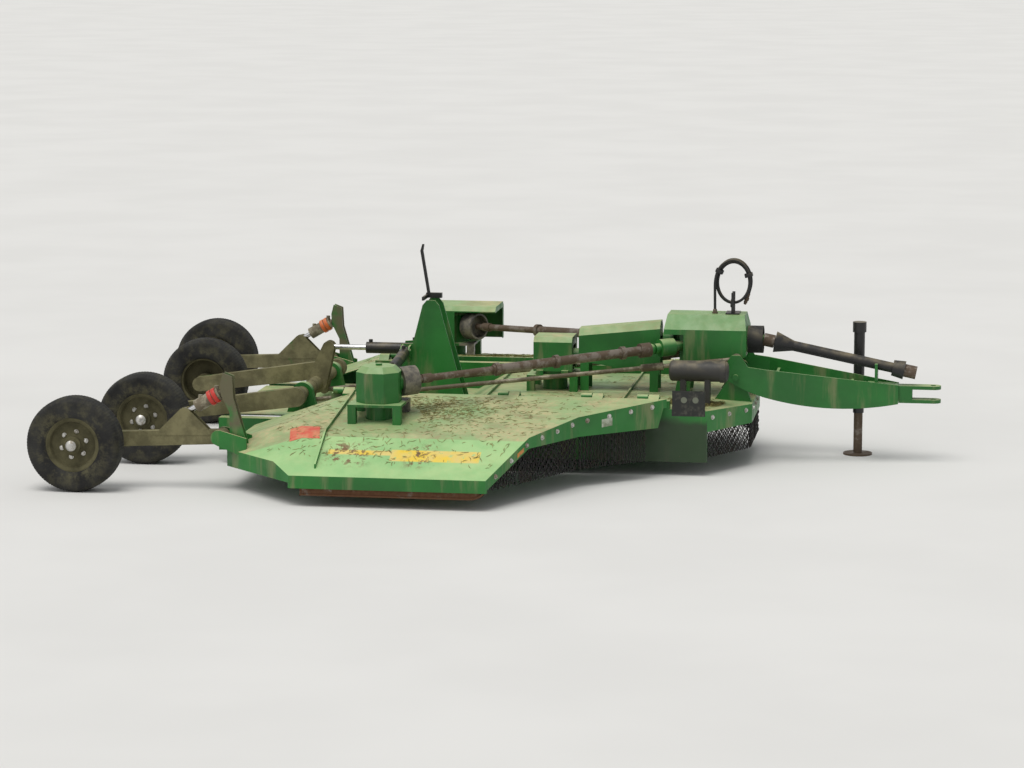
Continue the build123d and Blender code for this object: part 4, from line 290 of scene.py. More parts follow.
# Node graphs
class Finish:
    """A material's graph. Patterns follow Object coordinates."""

    def __init__(self, name, roughness=0.6, metallic=0.0, specular=0.5):
        self.material = bpy.data.materials.new(name)
        self.material.use_nodes = True
        self.tree = self.material.node_tree
        self.shader = self.tree.nodes["Principled BSDF"]
        self.shader.inputs["Roughness"].default_value = roughness
        self.shader.inputs["Metallic"].default_value = metallic
        self.shader.inputs["Specular IOR Level"].default_value = specular
        self.coordinates = self.tree.nodes.new("ShaderNodeTexCoord")
        self.place = self.coordinates.outputs["Object"]

    def set(self, socket, value):
        if isinstance(value, bpy.types.NodeSocket):
            self.tree.links.new(value, socket)
        elif isinstance(value, (tuple, list)) and len(value) == 3 and socket.type == "RGBA":
            socket.default_value = (*value, 1.0)
        else:
            socket.default_value = value

    def add(self, kind, **inputs):
        """A node with its inputs set to values or joined to sockets."""
        node = self.tree.nodes.new("ShaderNode" + kind)
        for name, value in inputs.items():
            self.set(node.inputs[name.replace("_", " ")], value)
        return node

    def noise(self, scale, detail=4.0, roughness=0.55, place=None):
        place = place or self.place
        node = self.add("TexNoise", Vector=place, Scale=scale, Detail=detail, Roughness=roughness)
        return node.outputs["Fac"]

    def mapped(self, scale=(1.0, 1.0, 1.0), centre=(0.0, 0.0, 0.0)):
        """The place, scaled and measured from a centre."""
        back = tuple(-value for value in centre)
        return self.add("Mapping", Vector=self.place, Location=back, Scale=scale).outputs["Vector"]

    def part(self, vector, letter):
        return self.add("SeparateXYZ", Vector=vector).outputs[letter]

    def up(self):
        """How far the surface faces up, in the piece's own space, so that it stays as the piece moves."""
        return self.part(self.coordinates.outputs["Normal"], "Z")

    def level(self, value, low, high, to_low=0.0, to_high=1.0):
        node = self.add("MapRange", Value=value, From_Min=low, From_Max=high, To_Min=to_low, To_Max=to_high)
        node.interpolation_type = "SMOOTHSTEP"
        return node.outputs["Result"]

    def patches(self, scale, detail, low, high, to_low=0.0, to_high=1.0, roughness=0.55):
        """Noise, spread between two of its levels."""
        return self.level(self.noise(scale, detail, roughness), low, high, to_low, to_high)

    def maths(self, operation, a, b=0.0):
        node = self.tree.nodes.new("ShaderNodeMath")
        node.operation = operation
        self.set(node.inputs[0], a)
        self.set(node.inputs[1], b)
        return node.outputs["Value"]

    def times(self, *values):
        product = values[0]
        for value in values[1:]:
            product = self.maths("MULTIPLY", product, value)
        return product

    def mix(self, factor, a, b):
        node = self.tree.nodes.new("ShaderNodeMix")
        node.data_type = "RGBA"
        self.set(node.inputs[0], factor)
        self.set(node.inputs[6], a)
        self.set(node.inputs[7], b)
        return node.outputs[2]

    def between(self, value, low, high, soft):
        """1 where a value lies between two others, falling off over soft."""
        risen = self.level(value, low - soft, low + soft)
        return self.times(risen, self.level(value, high - soft, high + soft, 1, 0))

    def boxes(self, x, z, rows, soft_x, soft_z):
        """1 inside any of some boxes in side view."""
        inside = None
        for low_x, high_x, low_z, high_z in rows:
            here = self.times(self.between(x, low_x, high_x, soft_x), self.between(z, low_z, high_z, soft_z))
            inside = here if inside is None else self.maths("MAXIMUM", inside, here)
        return inside

    def out_from(self, distance, soft):
        """1 where a place is farther than a distance from the middle plane, on either side."""
        y = self.maths("ABSOLUTE", self.part(self.place, "Y"))
        return self.level(y, distance - soft, distance + soft)

    def bump(self, height, strength, distance):
        node = self.add("Bump", Height=height, Strength=strength, Distance=distance)
        self.tree.links.new(node.outputs["Normal"], self.shader.inputs["Normal"])

    def colour(self, value):
        self.set(self.shader.inputs["Base Color"], value)

    def rough(self, value):
        self.set(self.shader.inputs["Roughness"], value)


def scaled(colour, factor):
    return tuple(min(1.0, value * factor) for value in colour)


def green_paint(name, colours, dust=1.0, markings=None):
    """Farm green, dusty and paler where it faces up, the paleness partly sun-bleached paint and partly
    painted light on the tops, with streaks on its sides and small bare nicks.
    """
    finish = Finish(name, roughness=0.45)
    green, dusty = tuple(colours.green), tuple(colours.dust)
    green = finish.mix(finish.patches(2.3, 5, 0.35, 0.65), green, scaled(green, 1.55))
    up = finish.up()
    # Upward faces turn to the faded green: partly real sun bleaching, partly painted light where the sun
    # falls on the tops.
    bleach_and_top_light = finish.times(finish.level(up, 0.25, 0.95), finish.patches(1.7, 6, 0.25, 0.60, 0.55, 1.0))
    paint = finish.mix(bleach_and_top_light, green, tuple(colours.faded))
    cloud = finish.patches(2.6, 8, 0.34, 0.60, 0.22, 1.0, roughness=0.65)
    specks = finish.patches(38.0, 6, 0.40, 0.68, 0.50, 1.0, roughness=0.7)
    settled = finish.times(finish.level(up, 0.35, 0.98), cloud, specks, dust)
    meal = finish.mix(finish.patches(7.0, 6, 0.36, 0.64, roughness=0.6), dusty, scaled(dusty, 0.62))
    paint = finish.mix(settled, paint, meal)
    streak = finish.noise(1.0, 5, 0.6, finish.mapped(scale=(9.0, 9.0, 1.3)))
    sides = finish.times(finish.level(up, 0.45, 0.05), finish.level(streak, 0.52, 0.70), 0.45)
    paint = finish.mix(sides, paint, scaled(dusty, 0.55))
    if markings:
        paint = markings(finish, paint, colours)
    nicks = finish.patches(90.0, 3, 0.735, 0.76, roughness=0.5)
    paint = finish.mix(finish.times(nicks, 0.8), paint, (0.10, 0.065, 0.045))
    finish.colour(paint)
    matt = finish.times(settled, 0.35)
    finish.rough(finish.maths("ADD", matt, finish.patches(14.0, 4, 0.3, 0.7, 0.36, 0.55)))
    grain = finish.noise(260.0, 2)
    finish.bump(finish.maths("ADD", grain, finish.times(finish.noise(3.0, 2), 6.0)), 0.25, 0.002)
    return finish.material


def stripe_and_scuffs(finish, paint, colours):
    """A bare yellow stripe along the outer panel, thin at the rear and deep forward, scuffed in two places.

    The outer panel's upward faces are paler than the roof, partly faded paint and partly painted light, and
    the posts at the rear are under dried mud."""
    x = finish.part(finish.place, "X")
    z = finish.part(finish.place, "Z")
    outer = finish.out_from(PANEL_FROM_Y, 0.005)
    # Paler mint where the outer panel faces up: partly faded paint, partly painted light.
    above = finish.level(finish.up(), 0.3, 0.8)
    mint_and_painted_light = finish.mix(finish.patches(5.0, 6, 0.35, 0.65), scaled(colours.faded, 1.35), (0.270, 0.560, 0.220))
    paint = finish.mix(finish.times(outer, above, 0.72), paint, mint_and_painted_light)
    band = finish.times(outer, finish.boxes(x, z, STRIPE, 0.004, 0.002))
    worn = finish.patches(26.0, 6, 0.56, 0.68, 1.0, 0.0, roughness=0.7)
    pale = finish.mix(finish.patches(6.0, 5, 0.4, 0.6), tuple(colours.stripe), (0.700, 0.560, 0.190))
    paint = finish.mix(finish.times(band, worn), paint, pale)
    scuff = finish.times(outer, finish.boxes(x, z, SCUFFS, 0.05, 0.02))
    broken = finish.patches(22.0, 7, 0.50, 0.58, roughness=0.7)
    paint = finish.mix(finish.times(scuff, broken), paint, (0.190, 0.115, 0.050))
    post = finish.times(finish.level(x, -1.290, -1.330), finish.level(z, 0.33, 0.38),
                        finish.patches(6.0, 6, 0.30, 0.50))
    return finish.mix(post, paint, tuple(colours.mud))


def steel_clutch(sign):
    """A marking that turns a wing gearbox's slip clutch to dusty steel, by its distance along the shaft."""
    mirror = np.array((1, sign, 1))
    way = unit(mirror * SHAFT_WAY)
    start = float(np.dot(way, mirror * WING_GEARBOX))

    def marking(finish, paint, colours):
        x, y, z = (finish.times(finish.part(finish.place, letter), float(step))
                   for letter, step in zip("XYZ", way))
        at = finish.maths("SUBTRACT", finish.maths("ADD", finish.maths("ADD", x, y), z), start)
        worn = finish.patches(16.0, 7, 0.36, 0.64, roughness=0.7)
        dusty = finish.mix(worn, (0.060, 0.058, 0.052), (0.200, 0.180, 0.135))
        return finish.mix(finish.level(at, 0.1265, 0.1275), paint, dusty)

    return marking


def nose_plates_and_painted_shade(finish, paint, colours):
    """Plates at the sides of the nose, coloured near-black as painted shade, with two worn holes each, over
    walls darkened low down and towards the front with painted shade.
    """
    x = finish.part(finish.place, "X")
    z = finish.part(finish.place, "Z")
    side = finish.out_from(NOSE_WALL_Y, 0.0005)
    # Painted shade: the side walls darken low down and towards the front, where shade falls under the plates
    # and chains.
    ragged = finish.maths("ADD", z, finish.times(finish.noise(7.0, 6), 0.10))
    painted_shade_low_wall = finish.times(side, finish.level(ragged, 0.395, 0.345), finish.level(x, 0.40, 0.60))
    paint = finish.mix(finish.times(painted_shade_low_wall, 0.85), paint, (0.020, 0.028, 0.014))
    above = finish.level(z, PLATE_FOOT_Z, PLATE_FOOT_Z + 0.003)
    plate = finish.times(side, finish.between(x, *PLATE_X, 0.001), above)
    # Painted shade: the plate is coloured near-black for the shadow it stands in, with paler scraped patches.
    shaded_plate_colour = finish.mix(finish.patches(30.0, 6, 0.50, 0.70), (0.014, 0.016, 0.013), (0.060, 0.058, 0.045))
    paint = finish.mix(plate, paint, shaded_plate_colour)
    for hole_x, hole_z in PLATE_HOLES:
        away = finish.maths("ADD", finish.maths("POWER", finish.maths("SUBTRACT", x, hole_x), 2.0),
                            finish.maths("POWER", finish.maths("SUBTRACT", z, hole_z), 2.0))
        hole = finish.level(away, 1.2 * HOLE_RADIUS_SQUARED, 0.8 * HOLE_RADIUS_SQUARED)
        hole = finish.times(side, hole)
        paint = finish.mix(hole, paint, (0.150, 0.165, 0.120))
    return paint


def muddy_paint(name, colours, wash=0.7, shade=1.0):
    """Green under a skin of dried olive mud, paler where it is thick."""
    finish = Finish(name, roughness=0.85, specular=0.25)
    thick = finish.patches(9.0, 7, 0.35, 0.65, roughness=0.65)
    mud = finish.mix(thick, scaled(colours.mud, shade), scaled(colours.mud, 1.8 * shade))
    skin = finish.patches(4.0, 6, 0.62 - wash / 2, 0.72 - wash / 2, roughness=0.6)
    finish.colour(finish.mix(skin, scaled(colours.green, 1.1), mud))
    finish.bump(finish.noise(70.0, 6, 0.7), 0.5, 0.004)
    return finish.material


def dark_plastic(name, colours, base=(0.014, 0.014, 0.015), roughness=0.55):
    """Black rubber or plastic with a film of dust on its upper side."""
    finish = Finish(name, roughness=roughness)
    film = finish.times(finish.level(finish.up(), -0.1, 1.0), finish.patches(11.0, 6, 0.35, 0.68), 0.30)
    finish.colour(finish.mix(film, base, tuple(colours.dust)))
    finish.bump(finish.noise(320.0, 2), 0.15, 0.001)
    return finish.material


def two_tone(name, first, second, patches, grain, roughness, specular=0.5):
    """A plain finish of two colours in patches, with a fine grain of a scale, detail and depth."""
    finish = Finish(name, roughness=roughness, specular=specular)
    finish.colour(finish.mix(finish.patches(*patches), first, second))
    scale, detail, depth = grain
    finish.bump(finish.noise(scale, detail), 0.2, depth)
    return finish.material


def weathered_steel(name, base, rust, amount, metallic=0.7, roughness=0.5):
    """Bare steel that browns in patches, with fine marks along it."""
    finish = Finish(name, roughness=roughness, metallic=metallic)
    patch = finish.patches(12.0, 8, 0.62 - amount / 2, 0.74 - amount / 2, roughness=0.7)
    finish.colour(finish.mix(patch, base, rust))
    finish.rough(finish.maths("ADD", finish.times(patch, 0.3), finish.patches(60.0, 4, 0.3, 0.7, 0.28, 0.5)))
    finish.bump(finish.noise(130.0, 5, 0.7), 0.3, 0.0015)
    return finish.material


def bright_rod(name):
    finish = Finish(name, roughness=0.12, metallic=1.0)
    finish.colour(finish.mix(finish.patches(30.0, 5, 0.5, 0.7), (0.62, 0.62, 0.62), (0.42, 0.38, 0.31)))
    return finish.material


def tyre_rubber(name, colours, centre, ribs):
    """Worn black rubber: strips show as fine lines round the axle, with a little dry soil in the tread."""
    finish = Finish(name, roughness=0.78, specular=0.3)
    place = finish.mapped(centre=centre)
    x, z = finish.part(place, "X"), finish.part(place, "Z")
    radius = finish.maths("SQRT", finish.maths("ADD", finish.times(x, x), finish.times(z, z)))
    splashes = finish.patches(15.0, 7, 0.42, 0.66, roughness=0.7)
    soil = finish.times(splashes, finish.level(radius, 0.15, 0.25, 0.60, 0.22))
    rubber = finish.mix(finish.patches(6.0, 5, 0.35, 0.65), (0.013, 0.013, 0.013), (0.030, 0.030, 0.028))
    finish.colour(finish.mix(soil, rubber, scaled(colours.mud, 1.15)))
    turn = finish.maths("ARCTAN2", z, x)
    strips = finish.maths("SINE", finish.times(turn, float(ribs)))
    finish.bump(finish.maths("ADD", finish.times(strips, 0.5), finish.noise(160.0, 5, 0.7)), 0.35, 0.0015)
    return finish.material


def node_finishes(colours):
    """The finish of each CAD slot, and the nodes that have one of their own."""
    rust = (0.110, 0.055, 0.028)
    slots = {
        "green_paint": green_paint("green_paint_dusty", colours),
        "green_casting": green_paint("green_casting_dusty", colours, dust=0.55),
        "olive_paint": muddy_paint("olive_mud", colours),
        "rim_paint": muddy_paint("rim_mud", colours, wash=0.9, shade=0.52),
        "tan_cylinder": weathered_steel(
            "dusty_barrel", (0.30, 0.27, 0.19), (0.15, 0.125, 0.08), 0.4, 0.0, 0.75),
        "tan_rod": weathered_steel(
            "dusty_rod", (0.25, 0.22, 0.15), (0.12, 0.095, 0.06), 0.4, 0.1, 0.75),
        "black_metal": dark_plastic("black_paint", colours, roughness=0.38),
        "black_plastic": dark_plastic("black_plastic_dusty", colours),
        "black_rubber": dark_plastic("black_rubber_dusty", colours, roughness=0.65),
        # Chain steel: dark steel, made near-black as painted shade for the curtains hanging in shadow.
        "chain_steel": weathered_steel(
            "chain_steel_shaded", (0.014, 0.014, 0.013), (0.028, 0.021, 0.016), 0.3, 0.3, 0.65),
        "bare_shaft": weathered_steel(
            "shaft_weathered", (0.200, 0.170, 0.140), (0.110, 0.078, 0.052), 0.45, 0.3, 0.6),
        "blade_steel": weathered_steel("blade_scuffed", (0.200, 0.185, 0.165), rust, 0.5),
        "rusty_steel": weathered_steel("skid_rust", (0.150, 0.120, 0.095), (0.125, 0.060, 0.030), 0.6),
        "chrome_rod": bright_rod("rod_bright"),
    }
    own = {}
    for side, sign in SIDES:
        own["wing_deck_" + side] = green_paint("wing_paint_" + side, colours, markings=stripe_and_scuffs)
        own["wing_gearbox_" + side] = green_paint("gearbox_paint_" + side, colours, 0.45, steel_clutch(sign))
    own["centre_deck"] = green_paint("centre_deck_paint", colours, markings=nose_plates_and_painted_shade)
    own["front_shield"] = green_paint("shield_paint", colours, dust=0.35)
    own["tongue_beam"] = green_paint("tongue_paint", colours, dust=0.25)
    own["manual_tube"] = dark_plastic("document_tube_grey", colours, base=(0.034, 0.033, 0.030))
    return slots, own


class Step:
    """What the operators share: each makes its pieces from the user's sizes and colours."""

    def execute(self, context):
        self.build(context.scene.mower_sizes, context.scene.mower_colours)
        return {"FINISHED"}


class MOWER_OT_finishes(Step, bpy.types.Operator):
    """Give every piece of the frame its finish"""

    bl_idname = "mower.finishes"
    bl_label = "Paint the machine"

    def build(self, sizes, colours):
        slots, own = node_finishes(colours)
        for part in frame["record"]["subparts"]:
            node, slot = part["node"], part["material_slot"]
            if slot == "tyre":
                low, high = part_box(node)
                material = tyre_rubber("rubber_" + node, colours, (low + high) / 2, sizes.tread_ribs)
            else:
                material = own.get(node) or slots[slot]
            thing = frame["nodes"][node]
            if not thing.material_slots:
                thing.data.materials.append(material)
            for held in thing.material_slots:
                held.material = material


# Tyres
def laminated_tyre(name, centre, radius, half, bore, ribs):
    """A tyre about an axle along Y.

    With p from -1 to 1 across the section, the half-width is half * p and the radius is radius - crown * p^6,
    and the walls come in to the bore. Strips stand up as ridge * |sin(ribs * a / 2)|."""
    p = np.sin(np.linspace(-math.pi / 2, math.pi / 2, 25))
    crown_y = half * p
    crown_r = radius - 0.020 * np.abs(p) ** 6
    wall = np.linspace(0.0, 1.0, 7)[1:]
    wall_r = crown_r[-1] + (bore - crown_r[-1]) * wall
    wall_y = half * (1.0 - 0.05 * wall ** 2 - 0.22 * np.clip(wall - 0.8, 0, 1) / 0.2)
    section_y = np.concatenate([-wall_y[::-1], crown_y, wall_y])
    section_r = np.concatenate([wall_r[::-1], crown_r, wall_r])
    angle = np.linspace(0, TAU, ribs * 4, endpoint=False)
    ridge = 0.0014 * np.abs(np.sin(ribs * angle / 2)) - 0.0014
    share = np.clip((section_r - bore) / (radius - bore), 0, 1)
    reach = section_r[None, :] + ridge[:, None] * share[None, :]
    points = np.stack([
        centre[0] + reach * np.cos(angle)[:, None],
        np.broadcast_to(centre[1] + section_y, reach.shape),
        centre[2] + reach * np.sin(angle)[:, None],
    ], axis=-1)
    return joined_mesh(name, points, grid_faces(*reach.shape, wrap_rows=True, wrap_columns=True))


class MOWER_OT_tyres(Step, bpy.types.Operator):
    """Make the four laminated tyres"""

    bl_idname = "mower.tyres"
    bl_label = "Laminated tyres"

    def build(self, sizes, colours):
        for node in sorted(frame["nodes"]):
            if not node.startswith("tyre_"):
                continue
            low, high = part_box(node)
            centre = (low + high) / 2
            where = node[len("tyre_"):]
            tyre = laminated_tyre("laminated_" + where, centre, (high.x - low.x) / 2, (high.y - low.y) / 2,
                                  0.1434, sizes.tread_ribs)
            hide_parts(node)
            fit(tyre, frame["nodes"][node].material_slots[0].material, "wheel_" + where)


# Chain curtains
def chain_links(tops, length, wire, count, drop, lowest):
    """Links of hanging strands, (k, n, 3), down to a lowest height.

    A link is c(u) + wire * (cos v * n(u) + sin v * w), where c is an ellipse in a plane, n is its normal
    in that plane and w is the plane's own. Each link's plane is turned a quarter from the last."""
    u = np.linspace(0, TAU, 12, endpoint=False)
    v = np.linspace(0, TAU, 6, endpoint=False)
    tall, wide = length / 2 - wire, length * 0.30 - wire / 2
    ring = np.stack([wide * np.cos(u), tall * np.sin(u)], axis=-1)
    normal = unit(np.stack([tall * np.cos(u), wide * np.sin(u)], axis=-1))
    flat = ring[:, None] + wire * np.cos(v)[None, :, None] * normal[:, None]
    thick = np.broadcast_to(wire * np.sin(v), flat.shape[:2])
    strand = np.arange(len(tops))
    step = np.arange(count)
    turn = (step[None, :] % 2) * (math.pi / 2) + strand[:, None] * 1.7
    height = tops[:, 2, None] - drop * (step + 0.5)
    across, through = flat[..., 0], thick
    x = np.cos(turn)[..., None, None] * across - np.sin(turn)[..., None, None] * through
    y = np.sin(turn)[..., None, None] * across + np.cos(turn)[..., None, None] * through
    z = height[..., None, None] + flat[..., 1]
    points = np.stack([tops[:, 0, None, None, None] + x, tops[:, 1, None, None, None] + y,
                       np.broadcast_to(z, x.shape)], axis=-1)
    return points[height > lowest + length / 2 - drop * 0.3].reshape(-1, flat.shape[0] * flat.shape[1], 3)


def curtain_tops(edge, ends, spacing, side=1, top=None):
    """Tops of the strands inside one edge. With no height given they follow the wing's roof."""
    places, out = points_between(edge[0], edge[1], spacing, ends)
    follow = wing_roof(places[:, 0], places[:, 1]) - CHAIN_BELOW_ROOF - ROD_BELOW_TOP
    height = follow if top is None else top
    places = places - out * CURTAIN_INSET
    return np.column_stack([places[:, 0], side * places[:, 1], np.broadcast_to(height, len(places))])


def hang_curtain(name, body, node, runs, sizes, material):
    """Strands and rods of a curtain, which ride on a body and stand for a node."""
    low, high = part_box(node)
    reach = high.z - ROD_BELOW_TOP - low.z
    pitch = sizes.link_length - 2.2 * sizes.link_wire
    count = int(reach // pitch)
    shapes = [chain_links(tops, sizes.link_length, sizes.link_wire, count, reach / count, low.z)
              for tops in runs]
    chain = copies_mesh(name + "_links", np.concatenate(shapes), grid_faces(12, 6, True, True))
    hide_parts(node)
    fit(chain, material, body)
    for index, tops in enumerate(runs):
        path = np.linspace(tops[0], tops[-1], 6)
        rod = swept_tube("%s_rod_%d" % (name, index + 1), path, 0.006, 10)
        fit(rod, material, body)


class MOWER_OT_chains(Step, bpy.types.Operator):
    """Hang the chain curtains behind the front bands"""

    bl_idname = "mower.chains"
    bl_label = "Chain curtains"

    def build(self, sizes, colours):
        # The chain steel is near-black partly as painted shade.
        steel = bpy.data.materials["chain_steel_shaded"]
        gap = sizes.strand_spacing
        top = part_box("centre_chains")[1].z - ROD_BELOW_TOP
        ends = ((0.042, 0.026), (0.012, 0.012), (0.026, 0.042))
        runs = [curtain_tops((NOSE[i], NOSE[i + 1]), ends[i], gap, 1, top) for i in range(3)]
        hang_curtain("nose_curtain", "frame", "centre_chains", runs, sizes, steel)
        for side, sign in SIDES:
            node = "wing_chains_" + side
            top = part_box(node)[1].z - ROD_BELOW_TOP
            runs = [curtain_tops(WING_FRONT[:2], (0.146, 0.018), gap, sign, top),
                    curtain_tops(WING_FRONT[1:], (0.018, 0.326), gap, sign, top),
                    curtain_tops(WING_FRONT[1:], (0.581, 0.056), gap, sign)]
            hang_curtain("curtain_" + side, "wing_" + side, node, runs, sizes, steel)


# Bolts on the front bands
class MOWER_OT_bolts(Step, bpy.types.Operator):
    """Set the rows of bolt heads on the front bands"""

    bl_idname = "mower.bolts"
    bl_label = "Bolt heads"

    def build(self, sizes, colours):
        steel = weathered_steel("bolt_steel", (0.56, 0.55, 0.52), (0.26, 0.22, 0.16), 0.3, 0.6, 0.35)
        rows = [("band_bolts_" + side, "wing_" + side, sign, WING_FRONT, ((0.10, 0.06), (0.06, 0.09)))
                for side, sign in SIDES]
        rows.append(("nose_bolts", "frame", 1, NOSE, ((0.06, 0.06),) * 3))
        for name, body, sign, edges, ends in rows:
            places, ways = [], []
            for index, short in enumerate(ends):
                row, out = points_between(edges[index], edges[index + 1], sizes.bolt_spacing, short)
                roof = np.full(len(row), NOSE_TOP_Z) if body == "frame" else wing_roof(row[:, 0], row[:, 1])
                places.append(np.column_stack([row[:, 0], sign * row[:, 1], roof - BOLT_BELOW_ROOF]))
                ways.append(np.tile((out[0], sign * out[1], 0.0), (len(row), 1)))
            bolts = bolt_heads(name, np.concatenate(places), np.concatenate(ways), sizes.bolt_radius)
            fit(bolts, steel, body)


# Hose coil
COIL_EXIT = (1.175, -0.016, 0.852)
SHIELD_TOP_Z = 0.8502
TIE_ANGLES = (150.0, 20.0, 268.0)


def coil_route(low, high, diameter, turns):
    """Points of the hose: straight up from the shield, then turns that shift across by a diameter each turn.

    At turn t the point is middle + (-a cos(2 pi t), w(t), b sin(2 pi t)), and a and b breathe a little."""
    middle = (low + high) / 2
    wide, tall = (high.x - low.x) / 2 - diameter * 0.75, (high.z - low.z) / 2 - diameter * 0.75
    t = np.linspace(0.0, turns, int(turns * 16) + 1)
    breathe = 1.0 - 0.13 * np.sin(1.15 * t + 0.3) ** 2 - 0.01 * t
    across = np.linspace(-1.0, 1.0, len(t)) * diameter * turns * 0.5
    turns_of = np.column_stack([
        middle.x - wide * breathe * np.cos(TAU * t),
        middle.y + across,
        middle.z + tall * breathe * np.sin(TAU * t),
    ])
    riser = np.linspace(COIL_EXIT, turns_of[0], 5)[:-1]
    return np.concatenate([riser, turns_of])


def hose_curve(name, route, diameter, material):
    """A hose as one open spline through the air near its route's points."""
    curve = bpy.data.curves.new(name, "CURVE")
    curve.dimensions = "3D"
    curve.bevel_depth = diameter / 2
    curve.bevel_resolution = 4
    curve.resolution_u = 6
    curve.use_fill_caps = True
    spline = curve.splines.new("NURBS")
    spline.points.add(len(route) - 1)
    spline.points.foreach_set("co", np.column_stack([route, np.ones(len(route))]).ravel())
    spline.order_u = 3
    spline.use_endpoint_u = True
    curve.materials.append(material)
    return linked(name, curve)


def wrap_band(name, centre, way, half_across, half_deep, width, thickness):
    """A band round a bundle: centre + s * way + p |cos t|^0.6 side + q |sin t|^0.6 lift, a rounded oblong."""
    way = unit(np.asarray(way, float))
    side = np.array((0.0, 1.0, 0.0))
    lift = unit(np.cross(way, side))
    t = np.linspace(0, TAU, 32, endpoint=False)
    rows = np.array(((-1.0, 0.0), (-1.0, 1.0), (-0.6, 1.3), (0.6, 1.3), (1.0, 1.0), (1.0, 0.0), (-1.0, 0.0)))
    c = np.sign(np.cos(t)) * np.abs(np.cos(t)) ** 0.6
    d = np.sign(np.sin(t)) * np.abs(np.sin(t)) ** 0.6
    p = half_across + thickness * rows[:, 1, None]
    q = half_deep + thickness * rows[:, 1, None]
    points = (np.asarray(centre, float) + rows[:, 0, None, None] * width / 2 * way
              + (p * c)[..., None] * side + (q * d)[..., None] * lift)
    return joined_mesh(name, points, grid_faces(len(rows), 32, wrap_columns=True))


class MOWER_OT_hose_coil(Step, bpy.types.Operator):
    """Wind the hose that stands on the front shield, with its gland, coupling and ties"""

    bl_idname = "mower.hose_coil"
    bl_label = "Hose coil"

    def build(self, sizes, colours):
        rubber = bpy.data.materials["black_rubber_dusty"]
        steel = bpy.data.materials["shaft_weathered"]
        size = sizes.hose_diameter
        low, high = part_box("hose_coil")
        route = coil_route(low, high, size, sizes.hose_turns)
        hose = hose_curve("hose_turns", route, size, rubber)
        r = size / 2
        gland = turned("hose_gland", (COIL_EXIT[0], COIL_EXIT[1], SHIELD_TOP_Z), (0, 0, 1), (
            (0, 0), (0, 2.2 * r), (0.007, 2.2 * r), (0.008, 1.6 * r), (0.022, 1.5 * r), (0.026, 1.15 * r),
            (0.026, 0)))
        end, way = route[-1], route[-1] - route[-2]
        coupling = turned("hose_coupling", end - unit(way) * 0.012, way, (
            (0, 0), (0, 1.15 * r), (0.004, 1.3 * r), (0.026, 1.3 * r), (0.028, 1.75 * r), (0.044, 1.75 * r),
            (0.046, 1.35 * r), (0.060, 1.35 * r), (0.062, 1.05 * r), (0.070, 0.95 * r), (0.070, 0)), 16)
        for piece in (gland, coupling):
            fit(piece, steel, "frame")
        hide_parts("hose_coil")
        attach(hose, "frame")
        middle = (low + high) / 2
        wide, tall = (high.x - low.x) / 2 - 1.6 * size, (high.z - low.z) / 2 - 1.6 * size
        for index, angle in enumerate(TIE_ANGLES):
            turn = math.radians(angle)
            place = (middle.x + wide * math.cos(turn), middle.y, middle.z + tall * math.sin(turn))
            band = wrap_band("hose_tie_%d" % (index + 1), place,
                             (-wide * math.sin(turn), 0, tall * math.cos(turn)), 0.027, 0.021, 0.022, 0.0025)
            fit(band, bpy.data.materials["black_plastic_dusty"], "frame")


# Reflective patches, blank
def patch_plate(name, corners, thickness, rows=7, out=(0.0, 0.0, 1.0), roof=None):
    """A thin bowed plate between four corners: the bilinear patch (u, v), raised by
    thickness * (1 - |2u-1|^8) * (1 - |2v-1|^8). With a roof given, it takes the roof's height."""
    u, v = np.meshgrid(np.linspace(0, 1, rows), np.linspace(0, 1, rows), indexing="ij")
    a, b, c, d = (np.array(corner, float) for corner in corners)
    flat = ((1 - u) * (1 - v))[..., None] * a + (u * (1 - v))[..., None] * b
    flat = flat + (u * v)[..., None] * c + ((1 - u) * v)[..., None] * d
    if roof is not None:
        flat[..., 2] = roof(flat[..., 0], flat[..., 1]) + 0.0006
    way = unit(np.cross(b - a, d - a))
    way = way if np.dot(way, out) > 0 else -way
    edge = (1 - np.abs(2 * u - 1) ** 8) * (1 - np.abs(2 * v - 1) ** 8)
    top = flat + way * (0.0008 + thickness * edge[..., None])
    under = flat + way * 0.0004
    faces = grid_faces(rows, rows)
    rim = np.concatenate([np.arange(rows), np.arange(rows, rows * rows, rows) + rows - 1,
                          np.arange(rows * rows - 2, rows * (rows - 1) - 1, -1),
                          np.arange(rows * (rows - 2), 0, -rows)])
    after = np.roll(rim, -1)
    wall = np.stack([rim, after, after + rows * rows, rim + rows * rows], axis=-1)
    points = np.concatenate([top.reshape(-1, 3), under.reshape(-1, 3)])
    return joined_mesh(name, points, np.concatenate([faces, faces[:, ::-1] + rows * rows, wall]))


class MOWER_OT_reflectors(Step, bpy.types.Operator):
    """Lay the faded patches on the rear corners of the wings"""

    bl_idname = "mower.reflectors"
    bl_label = "Rear patches"

    def build(self, sizes, colours):
        red = tuple(colours.reflector)
        faded = two_tone("reflector_faded", red, (0.62, 0.26, 0.13),
                         (18.0, 5, 0.35, 0.68), (400.0, 1, 0.0008), 0.5)
        x = np.array((-1.020, -0.850, -0.880, -1.050))
        y = np.array((1.600, 1.600, 1.440, 1.440))
        for side, sign in SIDES:
            corners = np.column_stack([x, sign * y, wing_roof(x, y)])
            plate = patch_plate("rear_patch_" + side, corners, 0.0012, rows=29, roof=wing_roof)
            fit(plate, faded, "wing_" + side)


